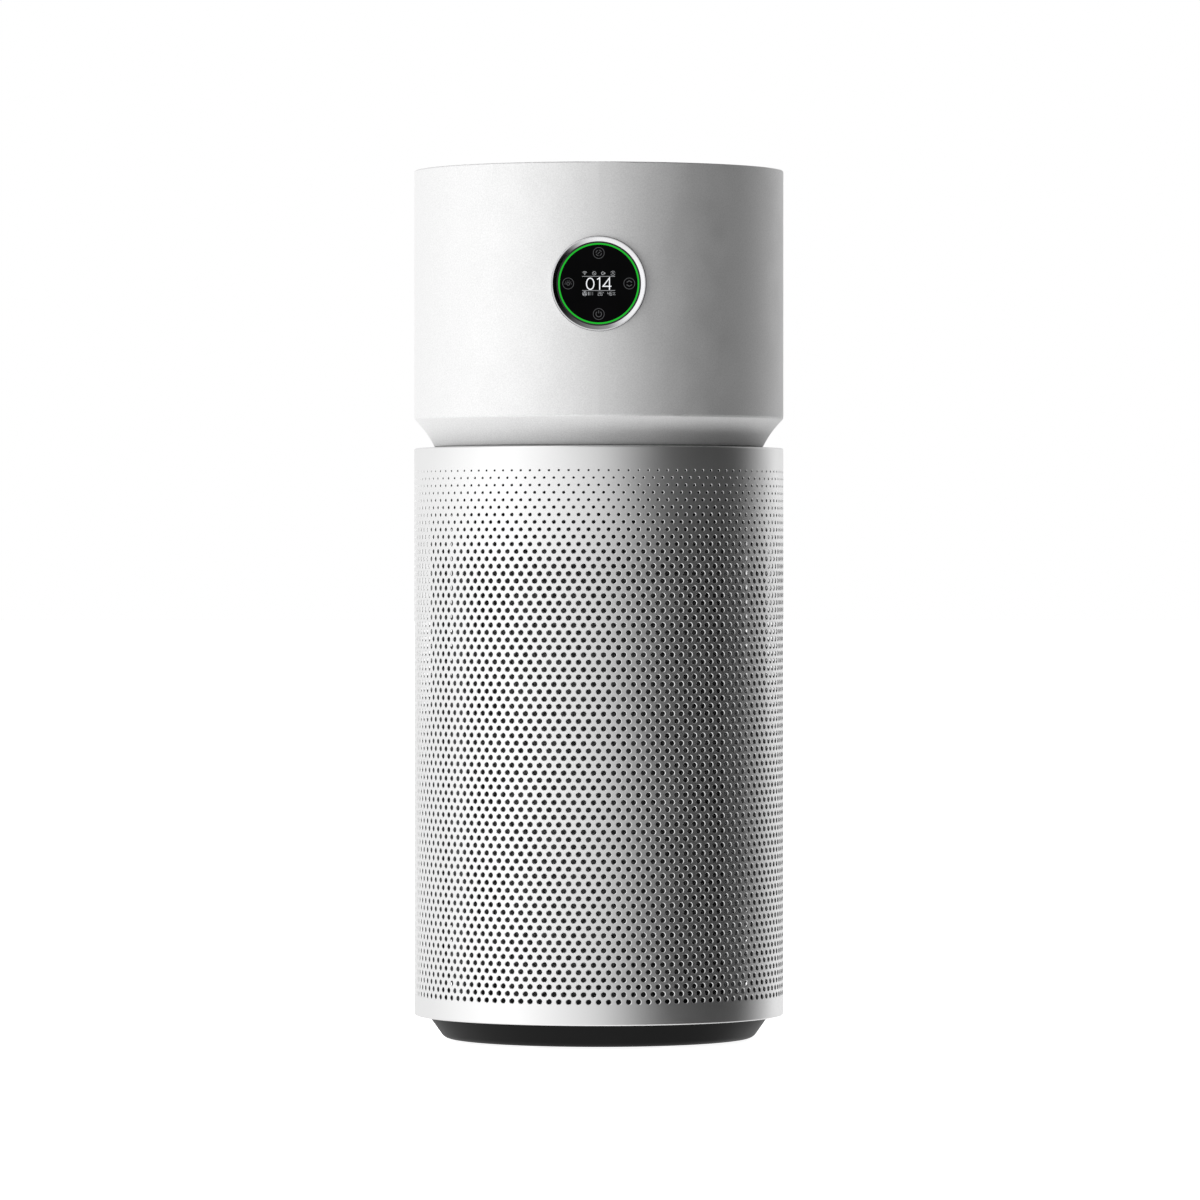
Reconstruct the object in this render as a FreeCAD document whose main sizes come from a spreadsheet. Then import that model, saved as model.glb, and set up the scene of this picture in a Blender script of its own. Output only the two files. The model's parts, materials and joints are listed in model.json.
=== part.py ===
import FreeCAD
import Part
import math
import os
import re
import Sketcher
from FreeCAD import Placement, Rotation, Vector

# A tower air purifier, in millimetres: +Z up, the floor at z = 0, the display facing -Y.
# Room air enters through the perforated lower shell and door, crosses the ring-shaped filter, and is
# drawn up by a centrifugal fan in the head, which blows it out through the grille on top.
# The rear door lifts off after its latch is pressed, and the filter then slides out to the rear.

DIMENSIONS = [
    # alias, value, meaning
    ("outer_radius", 150, "outside of the head and of the lower shell"),
    ("wall", 2, "wall of the moulded shells"),
    ("edge_round", 0.8, "rounding of the shells' outer edges"),
    ("deck_round", 1.5, "rounding of the perforated shell's upper edge"),
    ("foot_radius", 10, "rubber foot"),
    ("foot_circle", 76, "circle that the feet stand on"),
    ("foot_count", 4, "number of rubber feet"),
    ("base_bottom", 2.5, "underside of the base, as high as a foot is thick"),
    ("base_low_radius", 122, "base at its flat underside"),
    ("base_mid_radius", 128, "base above its rounded lower edge"),
    ("base_mid_height", 6, "top of the base's rounded lower edge"),
    ("base_high_radius", 138.6, "base where it meets the shell"),
    ("base_wall", 2.6, "wall of the base skirt"),
    ("cover_thickness", 2.5, "bottom cover"),
    ("cover_radius", 118.8, "bottom cover"),
    ("boss_circle", 108, "circle of the bosses that hold the bottom cover"),
    ("boss_count", 6, "bosses and base screws"),
    ("boss_radius", 4.5, "screw boss"),
    ("shell_bottom", 21, "lower edge of the perforated shell"),
    ("shell_top", 481, "upper edge of the perforated shell"),
    ("seam_angle", 0.4, "gap between shell and door, in degrees"),
    ("door_angle", 120, "share of the circle that the door closes, in degrees"),
    ("flange_radius", 140, "inner edge of the shell's lower flange"),
    ("deck_radius", 135.5, "inner edge of the shell's upper deck"),
    ("tray_bottom", 23.4, "underside of the filter tray"),
    ("tray_top", 26.4, "face that the filter stands on"),
    ("tray_radius", 147, "edge of the filter tray"),
    ("column_depth", 10, "support column, radially"),
    ("column_width", 16, "support column, around the circle"),
    ("jamb_angle", 66, "door side columns, in degrees from the rear"),
    ("front_angle", 50, "front columns, in degrees from the front"),
    ("frame_bottom", 470, "underside of the neck frame"),
    ("frame_plate", 4, "plate of the neck frame"),
    ("frame_bore", 96, "air hole in the neck frame"),
    ("neck_radius", 133, "neck that shows in the groove"),
    ("neck_wall", 3, "wall of the neck"),
    ("neck_top", 492, "upper edge of the neck"),
    ("bevel_bottom", 482.5, "lower edge of the head"),
    ("bevel_gap", 0.6, "gap between the neck and the head's lower edge"),
    ("bevel_top", 505.2, "upper end of the head's bevel"),
    ("bevel_curve", 75, "hollow curve of the bevel"),
    ("bevel_round", 3, "rounding between the bevel and the head's wall"),
    ("head_top", 706, "upper edge of the head"),
    ("duct_radius", 132.8, "outside of the fan duct"),
    ("duct_wall", 2.5, "wall of the fan duct"),
    ("duct_top", 690, "upper edge of the fan duct and of the motor pod"),
    ("inlet_radius", 88, "throat of the bell mouth"),
    ("inlet_top", 502, "lip of the bell mouth"),
    ("bell_radius", 116, "flange of the bell mouth"),
    ("impeller_radius", 112, "tips of the impeller blades"),
    ("impeller_eye", 62, "inner ends of the impeller blades"),
    ("impeller_blades", 9, "number of impeller blades"),
    ("impeller_low", 505, "lower edge of the blades at the eye"),
    ("impeller_high", 566, "back plate of the impeller"),
    ("blade_curve", 80, "bend of an impeller blade"),
    ("blade_thickness", 2, "impeller blade"),
    ("shaft_radius", 4, "motor shaft"),
    ("shaft_bottom", 545, "lower end of the shaft"),
    ("shaft_top", 634, "upper end of the shaft"),
    ("bearing_radius", 8, "outside of a bearing"),
    ("bearing_height", 7, "bearing"),
    ("bearing_play", 0.03, "clearance between shaft and bearing"),
    ("pod_radius", 66, "motor pod"),
    ("pod_wall", 2.5, "wall of the motor pod"),
    ("pod_bottom", 576, "underside of the motor pod"),
    ("vane_bottom", 590, "lower edge of the guide vanes"),
    ("vane_height", 50, "guide vanes"),
    ("vane_count", 11, "number of guide vanes"),
    ("stator_radius", 35.5, "outside of the stator teeth"),
    ("stator_bottom", 591, "underside of the stator"),
    ("stator_height", 22, "stack of stator plates"),
    ("tooth_count", 12, "stator teeth and coils"),
    ("bracket_bottom", 636, "underside of the motor bracket's flange"),
    ("board_radius", 58, "control board and power board"),
    ("board_thickness", 1.6, "circuit boards"),
    ("control_height", 650, "underside of the control board"),
    ("power_height", 666, "underside of the power board"),
    ("standoff_circle", 50, "circle of the board standoffs"),
    ("standoff_count", 4, "board standoffs and their screws"),
    ("grille_height", 9, "outlet grille, which stands on the fan duct"),
    ("grille_vanes", 60, "number of slats in the outlet grille"),
    ("slat_thickness", 1.5, "slat of the outlet grille"),
    ("slat_curve", 95, "bend of a slat"),
    ("display_height", 609.3, "centre of the round display"),
    ("display_face", 151.5, "front of the display bezel, from the tower's axis"),
    ("bezel_radius", 37.5, "outside of the bezel"),
    ("bezel_inner", 33.5, "inside of the bezel"),
    ("glass_radius", 30.85, "display glass"),
    ("key_circle", 24.3, "circle of the four touch keys"),
    ("hatch_bottom", 590, "lower edge of the sensor hatch"),
    ("hatch_height", 44, "opening for the sensor hatch"),
    ("hatch_width", 44, "opening for the sensor hatch"),
    ("fit_gap", 0.3, "gap round pieces that come off"),
    ("filter_radius", 119, "end caps of the filter"),
    ("netting_radius", 118, "netting round the filter"),
    ("pleat_outer", 115.5, "outer folds of the filter paper"),
    ("pleat_inner", 84, "inner folds of the filter paper"),
    ("pleat_count", 110, "number of folds"),
    ("paper_shift", 5, "filter paper, measured radially through a fold's slanting side"),
    ("carbon_outer", 82, "carbon sleeve"),
    ("carbon_inner", 77, "carbon sleeve and bore of the filter"),
    ("cap_height", 9, "end caps of the filter"),
    ("filter_top", 462, "upper face of the filter's upper cap"),
    ("strap_height", 20, "pull strap of the filter"),
    ("latch_width", 30, "thumb latch"),
    ("latch_near", 137.5, "side of the latch towards the filter"),
    ("latch_far", 145.5, "side of the latch towards the door"),
    ("latch_bottom", 458, "underside of the thumb latch"),
    ("latch_proud", 0.4, "how far the latch stands above the deck"),
    ("hook_top", 468, "top of the latch's hook"),
    ("catch_bottom", 465.5, "underside of the catch plate"),
    ("inlet_width", 33, "mains inlet"),
    ("inlet_height", 13, "mains inlet"),
    ("inlet_floor", 6.4, "underside of the mains inlet"),
    ("inlet_back", 106, "inner end of the mains inlet"),
    ("inlet_face", 127.5, "face of the mains inlet"),
    ("socket_radius", 4.3, "half of the figure-eight socket"),
    ("pin_offset", 3.95, "half of the distance between the socket's pins"),
    ("pin_radius", 1.19, "pin of the mains inlet"),
    ("lead_radius", 2.5, "inner mains lead"),
    ("lead_circle", 125, "circle that the inner mains lead climbs on"),
    ("lead_angle", 213, "where the inner mains lead climbs, in degrees from +X"),
    ("lead_low", 14, "lead in the base"),
    ("lead_high", 645, "lead where it enters the motor pod"),
    ("lead_bend", 8, "bends of the inner mains lead"),
    ("lead_hole", 3.2, "holes that the lead passes"),
    ("screw_shank", 1.35, "screws"),
    ("screw_pilot", 1.4, "screw holes"),
    ("screw_head", 3.2, "screw heads"),
]

TINY = 1e-9
doc = FreeCAD.newDocument("air_purifier")
dims = doc.addObject("Spreadsheet::Sheet", "dims")
for row, (alias, value, meaning) in enumerate(DIMENSIONS, start=1):
    dims.set(f"A{row}", meaning)
    dims.set(f"B{row}", str(value))
    dims.setAlias(f"B{row}", alias)
doc.recompute()
ALIASES = {alias for alias, _, _ in DIMENSIONS}
nodes = []


# ---------------------------------------------------------------- expressions and sketches


def bind(text):
    """The expression with each alias written as a reference to the sheet."""
    return re.sub(r"[a-z]\w*", lambda m: ("dims." if m[0] in ALIASES else "") + m[0], str(text))


def number(text):
    """What an expression comes to now."""
    return float(dims.evalExpression(bind(text)))


def keep(label, piece):
    """Makes a document object the sub-part of that name."""
    piece.Label = label
    nodes.append(piece)
    return piece


def fix_point(sketch, geometry, end, x, y):
    """Ties one end of a sketch element to two expressions, counted from the sketch's origin."""
    for axis, kind, text in ((-2, "DistanceX", x), (-1, "DistanceY", y)):
        value = number(text)
        if abs(value) < TINY:
            sketch.addConstraint(Sketcher.Constraint("PointOnObject", geometry, end, axis))
            continue
        ends = (-1, 1, geometry, end) if value > 0 else (geometry, end, -1, 1)
        index = sketch.addConstraint(Sketcher.Constraint(kind, *ends, abs(value)))
        sketch.setExpression(f"Constraints[{index}]", f"{1 if value > 0 else -1} * ({bind(text)})")


def draw_circle(sketch, x, y, radius):
    """A circle whose centre and radius are expressions."""
    centre = Vector(number(x), number(y), 0)
    index = sketch.addGeometry(Part.Circle(centre, Vector(0, 0, 1), number(radius)))
    fix_point(sketch, index, 3, x, y)
    sized = sketch.addConstraint(Sketcher.Constraint("Radius", index, number(radius)))
    sketch.setExpression(f"Constraints[{sized}]", bind(radius))


def arc_between(start, finish, radius, side):
    """The arc of that radius with its centre on the side of the travel that is named."""
    chord = finish - start
    left = Vector(-chord.y, chord.x, 0).normalize()
    rise = math.sqrt(radius**2 - (chord.Length / 2) ** 2)
    centre = start + chord * 0.5 + left * (rise if side == "left" else -rise)
    first, last = (start, finish) if side == "left" else (finish, start)
    angles = [math.atan2(p.y - centre.y, p.x - centre.x) for p in (first, last)]
    return Part.ArcOfCircle(Part.Circle(centre, Vector(0, 0, 1), radius), *angles)


def draw_outline(sketch, outline):
    """A closed outline. Each corner is (x, y), or (x, y, radius, side) where an arc leaves it."""
    corners = [Vector(number(corner[0]), number(corner[1]), 0) for corner in outline]
    edges = []
    for at, (x, y, *bend) in enumerate(outline):
        start, finish = corners[at], corners[(at + 1) % len(corners)]
        if bend:
            index = sketch.addGeometry(arc_between(start, finish, number(bend[0]), bend[1]))
            ends = (1, 2) if bend[1] == "left" else (2, 1)
            sized = sketch.addConstraint(Sketcher.Constraint("Radius", index, number(bend[0])))
            sketch.setExpression(f"Constraints[{sized}]", bind(bend[0]))
        else:
            index = sketch.addGeometry(Part.LineSegment(start, finish))
            ends = (1, 2)
        fix_point(sketch, index, ends[0], x, y)
        edges.append((index, ends))
    for at, (index, ends) in enumerate(edges):
        following, following_ends = edges[(at + 1) % len(edges)]
        sketch.addConstraint(
            Sketcher.Constraint("Coincident", index, ends[1], following, following_ends[0])
        )


def origin_feature(body, role):
    """One of a body's own origin planes or axes."""
    return next(f for f in body.Origin.OriginFeatures if f.Role == role)


def new_sketch(body, plane, outlines, offset="0"):
    """A sketch on a body's origin plane, moved along the plane's normal by an expression."""
    sketch = body.newObject("Sketcher::SketchObject", body.Name + "_sketch")
    sketch.AttachmentSupport = [(origin_feature(body, plane), "")]
    sketch.MapMode = "FlatFace"
    sketch.setExpression("AttachmentOffset.Base.z", bind(offset))
    for outline in outlines:
        if isinstance(outline, tuple):
            draw_circle(sketch, *outline)
        else:
            draw_outline(sketch, outline)
    return sketch


# ---------------------------------------------------------------- features


def revolve(body, outlines, angle="360"):
    """Turns outlines of (radius, height) about Z, centred on +Y where the turn isn't a full one."""
    feature = body.newObject("PartDesign::Revolution", body.Name + "_revolution")
    sketch = new_sketch(body, "YZ_Plane", outlines)
    feature.Profile = sketch
    feature.ReferenceAxis = (sketch, ["V_Axis"])
    feature.Midplane = True
    feature.setExpression("Angle", bind(angle))
    body.Tip = feature
    return feature


def groove(body, outlines):
    """Cuts outlines of (radius, height), turned about Z, out of the body."""
    feature = body.newObject("PartDesign::Groove", body.Name + "_groove")
    sketch = new_sketch(body, "YZ_Plane", outlines)
    feature.Profile = sketch
    feature.ReferenceAxis = (sketch, ["V_Axis"])
    body.Tip = feature
    return feature


def pad(body, outlines, bottom, height):
    """Adds outlines of (x, y), from a height upwards."""
    feature = body.newObject("PartDesign::Pad", body.Name + "_pad")
    feature.Profile = new_sketch(body, "XY_Plane", outlines, bottom)
    feature.setExpression("Length", bind(height))
    body.Tip = feature
    return feature


def pocket(body, outlines, top, depth):
    """Cuts outlines of (x, y), from a height downwards."""
    feature = body.newObject("PartDesign::Pocket", body.Name + "_pocket")
    feature.Profile = new_sketch(body, "XY_Plane", outlines, top)
    feature.setExpression("Length", bind(depth))
    body.Tip = feature
    return feature


def side_pocket(body, outlines, depth, to_front):
    """Cuts outlines of (x, z) from the tower's axis out to the front or to the rear."""
    feature = body.newObject("PartDesign::Pocket", body.Name + "_side_pocket")
    feature.Profile = new_sketch(body, "XZ_Plane", outlines)
    feature.setExpression("Length", bind(depth))
    feature.Reversed = to_front
    body.Tip = feature
    return feature


def polar(body, feature, count):
    """Repeats a feature round the Z axis."""
    pattern = body.newObject("PartDesign::PolarPattern", body.Name + "_pattern")
    pattern.Originals = [feature]
    pattern.Axis = (origin_feature(body, "Z_Axis"), [""])
    pattern.Angle = 360
    pattern.setExpression("Occurrences", bind(count))
    body.Tip = pattern
    return pattern


def new_body(label):
    """An empty body that is the sub-part of that name."""
    return keep(label, doc.addObject("PartDesign::Body", label))


def ring(label, inner, outer, bottom, top):
    """A sub-part that is a plain ring, or a disc where the inner radius is 0."""
    body = new_body(label)
    revolve(body, [[(inner, bottom), (outer, bottom), (outer, top), (inner, top)]])
    return body


def rectangle(x_low, x_high, y_low, y_high):
    """The outline of an upright rectangle."""
    return [(x_low, y_low), (x_high, y_low), (x_high, y_high), (x_low, y_high)]


def block(label, x_low, x_high, y_low, y_high, z_low, z_high):
    """A box between two corners, all six sides expressions."""
    piece = doc.addObject("Part::Box", label)
    sides = (("Length", "x", x_low, x_high), ("Width", "y", y_low, y_high), ("Height", "z", z_low, z_high))
    for size_name, axis, low, high in sides:
        piece.setExpression(size_name, bind(f"({high}) - ({low})"))
        piece.setExpression(f"Placement.Base.{axis}", bind(low))
    return piece


def turned_block(label, angle, radial, sideways, upright):
    """A box that is turned about Z by a fixed angle in degrees, each size a (low, high) pair."""
    piece = doc.addObject("Part::Box", label)
    for size_name, (low, high) in zip(("Length", "Width", "Height"), (radial, sideways, upright)):
        piece.setExpression(size_name, bind(f"({high}) - ({low})"))
    piece.Placement.Rotation = Rotation(Vector(0, 0, 1), angle)
    turn = f"{angle} * 1 deg"
    out, side = f"({radial[0]})", f"({sideways[0]})"
    piece.setExpression("Placement.Base.x", bind(f"{out} * cos({turn}) - {side} * sin({turn})"))
    piece.setExpression("Placement.Base.y", bind(f"{out} * sin({turn}) + {side} * cos({turn})"))
    piece.setExpression("Placement.Base.z", bind(upright[0]))
    return piece


def rod(label, x, y, z, radius, length, direction=Vector(0, 0, 1)):
    """A cylinder that starts at a point and runs along a direction."""
    piece = doc.addObject("Part::Cylinder", label)
    piece.Placement = Placement(Vector(), Rotation(Vector(0, 0, 1), direction))
    for axis, text in (("x", x), ("y", y), ("z", z)):
        piece.setExpression(f"Placement.Base.{axis}", bind(text))
    piece.setExpression("Radius", bind(radius))
    piece.setExpression("Height", bind(length))
    return piece


def cut(label, base, *tools):
    """A base with one or more tools taken away."""
    for tool in tools:
        piece = doc.addObject("Part::Cut", label + "_cut")
        piece.Base, piece.Tool = base, tool
        base = piece
    return base


def fuse(label, *pieces):
    """Pieces joined into one solid."""
    piece = doc.addObject("Part::MultiFuse", label)
    piece.Shapes = list(pieces)
    return piece


def group(label, pieces):
    """Separate solids that are one sub-part."""
    piece = doc.addObject("Part::Compound", label)
    piece.Links = pieces
    return keep(label, piece)


def on_circle(radius, angle):
    """The two expressions of a point on a circle round Z; the angle is in degrees."""
    return f"({radius}) * cos(({angle}) * 1 deg)", f"({radius}) * sin(({angle}) * 1 deg)"


def angles_of(count, first=0.0):
    """Evenly spaced angles in degrees."""
    total = int(number(count))
    return [first + 360 * step / total for step in range(total)]


def screws(label, places, tip, shoulder, head_side):
    """Pan-head screws that stand upright: each tip and shoulder is a height, and head_side is 1
    where the head lies above the shoulder and -1 where it lies below."""
    pieces = []
    for x, y in places:
        low, high = (tip, shoulder) if head_side > 0 else (shoulder, tip)
        shank = rod(label + "_shank", x, y, low, "screw_shank", f"({high}) - ({low})")
        head_low = shoulder if head_side > 0 else f"({shoulder}) - 1.4"
        head = rod(label + "_head", x, y, head_low, "screw_head", "1.4")
        pieces.append(fuse(label + "_screw", shank, head))
    return group(label, pieces)


# ---------------------------------------------------------------- base


def make_base():
    """The black base: a tray that carries everything, with a tapered skirt, closed from below."""
    tray = new_body("base_tray")
    inner_low = "base_low_radius - base_wall"
    inner_mid = "base_mid_radius - base_wall - 0.6"
    inner_high = "base_high_radius - base_wall"
    profile = [
        (inner_low, "base_bottom"),
        ("base_low_radius", "base_bottom", "8", "left"),
        ("base_mid_radius", "base_mid_height"),
        ("base_high_radius", "shell_bottom"),
        ("base_high_radius", "tray_bottom"),
        ("tray_radius", "tray_bottom"),
        ("tray_radius", "tray_top"),
        ("0", "tray_top"),
        ("0", "tray_bottom"),
        (inner_high, "tray_bottom"),
        (inner_mid, "base_mid_height + 1"),
        (inner_low, "base_mid_height"),
    ]
    revolve(tray, [profile])
    cover_top = "base_bottom + cover_thickness"
    boss = pad(tray, [("boss_circle", "0", "boss_radius")], cover_top, f"tray_bottom - ({cover_top}) + 1")
    polar(tray, boss, "boss_count")
    pilot = pocket(tray, [("boss_circle", "0", "screw_pilot")], "20", f"20 - ({cover_top})")
    polar(tray, pilot, "boss_count")
    side_pocket(
        tray,
        [rectangle("-inlet_width / 2", "inlet_width / 2", "inlet_floor", "inlet_floor + inlet_height")],
        "tray_radius",
        to_front=False,
    )
    x, y = on_circle("lead_circle", "lead_angle")
    pocket(tray, [(x, y, "lead_hole")], "tray_top + 1", "5")

    cover = ring("bottom_cover", "0", "cover_radius", "base_bottom", cover_top)
    hole = pocket(cover, [("boss_circle", "0", "screw_pilot")], cover_top, "cover_thickness")
    polar(cover, hole, "boss_count")
    recess = pocket(cover, [("boss_circle", "0", "screw_head + 0.4")], "base_bottom + 1.6", "1.6")
    polar(cover, recess, "boss_count")
    places = [on_circle("boss_circle", angle) for angle in angles_of("boss_count")]
    screws("base_screws", places, "18", "base_bottom + 1.6", head_side=-1)

    feet = []
    for angle in angles_of("foot_count", first=45):
        x, y = on_circle("foot_circle", angle)
        feet.append(rod("foot", x, y, "0", "foot_radius", "base_bottom"))
    group("rubber_feet", feet)


def make_mains_inlet():
    """A figure-eight appliance inlet in the rear of the base, and the lead that climbs from it."""
    rearward = Vector(0, 1, 0)
    middle = "inlet_floor + inlet_height / 2"
    housing = block(
        "inlet_block",
        "-inlet_width / 2",
        "inlet_width / 2",
        "inlet_back",
        "inlet_face",
        "inlet_floor",
        "inlet_floor + inlet_height",
    )
    depth = "13"
    bottom = f"inlet_face - {depth}"
    lobes = [
        rod("socket_lobe", f"{side} * pin_offset", bottom, middle, "socket_radius", depth, rearward)
        for side in (-1, 1)
    ]
    web = block(
        "socket_web",
        "-pin_offset",
        "pin_offset",
        bottom,
        "inlet_face",
        f"{middle} - socket_radius * 0.8",
        f"{middle} + socket_radius * 0.8",
    )
    keep("mains_inlet", cut("mains_inlet", housing, fuse("socket", *lobes, web)))
    pins = [
        rod("pin", f"{side} * pin_offset", bottom, middle, "pin_radius", "9", rearward) for side in (-1, 1)
    ]
    group("inlet_pins", pins)

    angle = math.radians(number("lead_angle"))
    outward = Vector(math.cos(angle), math.sin(angle), 0)
    low, high, circle = number("lead_low"), number("lead_high"), number("lead_circle")
    route = [
        Vector(0, number("inlet_back"), low),
        Vector(0, number("inlet_back") - 12, low),
        outward * circle + Vector(0, 0, low),
        outward * circle + Vector(0, 0, high),
        outward * (number("pod_radius") - number("pod_wall") - 2) + Vector(0, 0, high),
    ]
    lead = doc.addObject("Part::Feature", "mains_lead")
    lead.Shape = tube_along(route, number("lead_bend"), number("lead_radius"))
    keep("mains_lead", lead)


def tube_along(route, bend, radius):
    """A round tube along straight runs that are joined by tangent arcs."""
    edges = []
    at = route[0]
    for before, corner, after in zip(route, route[1:], route[2:]):
        arriving = (corner - before).normalize()
        leaving = (after - corner).normalize()
        half_turn = arriving.getAngle(leaving) / 2
        reach = bend * math.tan(half_turn)
        start, finish = corner - arriving * reach, corner + leaving * reach
        inward = (leaving - arriving).normalize()
        middle = corner + inward * (bend / math.cos(half_turn) - bend)
        edges += [Part.LineSegment(at, start).toShape(), Part.Arc(start, middle, finish).toShape()]
        at = finish
    edges.append(Part.LineSegment(at, route[-1]).toShape())
    section = Part.Wire([Part.makeCircle(radius, route[0], (route[1] - route[0]).normalize())])
    return Part.Wire(edges).makePipeShell([section], True, True)


# ---------------------------------------------------------------- lower body


def skin_profile():
    """Section of the perforated skin: a deck at the top and a flange at the bottom, rounded outside.
    Its punched field has plain bands above and below, and this solid leaves the wall unpierced."""
    return [
        ("flange_radius", "shell_bottom"),
        ("outer_radius - edge_round", "shell_bottom", "edge_round", "left"),
        ("outer_radius", "shell_bottom + edge_round"),
        ("outer_radius", "shell_top - deck_round", "deck_round", "left"),
        ("outer_radius - deck_round", "shell_top"),
        ("deck_radius", "shell_top"),
        ("deck_radius", "shell_top - wall"),
        ("outer_radius - wall", "shell_top - wall"),
        ("outer_radius - wall", "shell_bottom + wall"),
        ("flange_radius", "shell_bottom + wall"),
    ]


def make_skins():
    """The fixed front shell and the rear door, two parts of one cylinder."""
    shell = new_body("front_shell")
    revolve(shell, [skin_profile()], "360 - door_angle - seam_angle")
    rests = [(*on_circle("143.5", angle), "3") for angle in (0, 45, 90, 135, 180)]
    pad(shell, rests, "shell_bottom + 1", "tray_bottom - shell_bottom - 1")
    shell.Placement = Placement(Vector(), Rotation(Vector(0, 0, 1), 180))
    door = new_body("door_panel")
    revolve(door, [skin_profile()], "door_angle - seam_angle")
    half_width = "latch_width / 2 + 0.5"
    opening = rectangle(f"-({half_width})", half_width, "latch_near - 0.5", "latch_far + 0.5")
    pocket(door, [opening], "shell_top + 1", "wall + 1.5")


def make_columns():
    """Four upright columns between the base and the neck frame, two of them beside the door."""
    jamb, front = number("jamb_angle"), number("front_angle")
    angles = [90 - jamb, 90 + jamb, 270 - front, 270 + front]
    middle = "tray_radius - column_depth / 2"
    half = "column_width / 2"
    columns = []
    for angle in angles:
        radial = ("tray_radius - column_depth", "tray_radius")
        column = turned_block("column", angle, radial, (f"-{half}", half), ("tray_top", "frame_bottom"))
        x, y = on_circle(middle, angle)
        pilot = rod("column_pilot", x, y, "frame_bottom - 14", "screw_pilot", "15")
        columns.append(cut("column_body", column, pilot))
    group("support_columns", columns)
    places = [on_circle(middle, angle) for angle in angles]
    screws("column_screws", places, "frame_bottom - 12", "frame_bottom + frame_plate", head_side=1)
    return places


def make_neck(column_places):
    """The frame on top of the columns, with the neck that carries the head."""
    frame = new_body("neck_frame")
    plate_top = "frame_bottom + frame_plate"
    profile = [
        ("frame_bore", "frame_bottom"),
        ("tray_radius", "frame_bottom"),
        ("tray_radius", plate_top),
        ("neck_radius", plate_top),
        ("neck_radius", "neck_top"),
        ("neck_radius - neck_wall", "neck_top"),
        ("neck_radius - neck_wall", plate_top),
        ("frame_bore", plate_top),
    ]
    revolve(frame, [profile])
    holes = [(x, y, "screw_pilot") for x, y in column_places]
    x, y = on_circle("lead_circle", "lead_angle")
    holes.append((x, y, "lead_hole"))
    pocket(frame, holes, f"{plate_top} + 1", "frame_plate + 2")
    clear = "latch_width / 2 + 5"
    pocket(
        frame,
        [rectangle(f"-({clear})", clear, "filter_radius + 6", "tray_radius + 5")],
        "shell_top - wall",
        "shell_top - wall - frame_bottom + 1",
    )


# ---------------------------------------------------------------- door latch


def make_latch():
    """A thumb latch in the door's deck: pressed down, its hook drops clear of the steel catch."""
    half = "latch_width / 2"
    hook_half = "8"
    thumb = block(
        "thumb", f"-({half})", half, "latch_near", "latch_far", "latch_bottom", "shell_top + latch_proud"
    )
    grips = [
        block(
            "grip", "-11", "11", f"latch_near + {step}", f"latch_near + {step} + 0.8",
            "shell_top + latch_proud - 0.4", "shell_top + latch_proud",
        )
        for step in (1.6, 3.6, 5.6)
    ]
    arm_low = "catch_bottom - 4"
    arm = block("arm", f"-{hook_half}", hook_half, "127.2", "latch_near", arm_low, "catch_bottom - 1")
    tooth = block("tooth", f"-{hook_half}", hook_half, "127.2", "130.2", arm_low, "hook_top")
    keep("latch_button", fuse("latch_button", cut("thumb_grips", thumb, *grips), arm, tooth))
    catch = block("catch", "-12", "12", "130.8", "133.2", "catch_bottom", "shell_top - wall")
    jamb = number("jamb_angle")
    keepers, magnets = [], []
    for angle, side in ((90 - jamb, 1), (90 + jamb, -1)):
        for pieces, low, high, outside in ((keepers, 8, 11.7, 146), (magnets, 12, 27, 145.2)):
            sideways = (str(low), str(high)) if side > 0 else (str(-high), str(-low))
            upright = ("tray_top + 24", "tray_top + 48")
            pieces.append(turned_block("holder", angle, ("138", str(outside)), sideways, upright))
    group("catch_plates", [catch] + keepers)
    group("door_magnets", magnets)

    outside = block(
        "housing_outside", "-17.5", "17.5", "latch_near - 1.5", "latch_far + 1.45", "442", "shell_top - wall"
    )
    inside = block(
        "housing_inside", "-15.4", "15.4", "latch_near - 0.3", "latch_far + 0.3", "445", "shell_top"
    )
    slot = block("housing_slot", "-8.6", "8.6", "latch_near - 3", "latch_near", f"{arm_low} - 4.6", "shell_top")
    keep("latch_housing", cut("latch_housing", outside, inside, slot))
    spring = ring("latch_spring", "2.5", "3.3", "445", "latch_bottom")
    spring.setExpression("Placement.Base.y", bind("(latch_near + latch_far) / 2"))


# ---------------------------------------------------------------- filter


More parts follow.
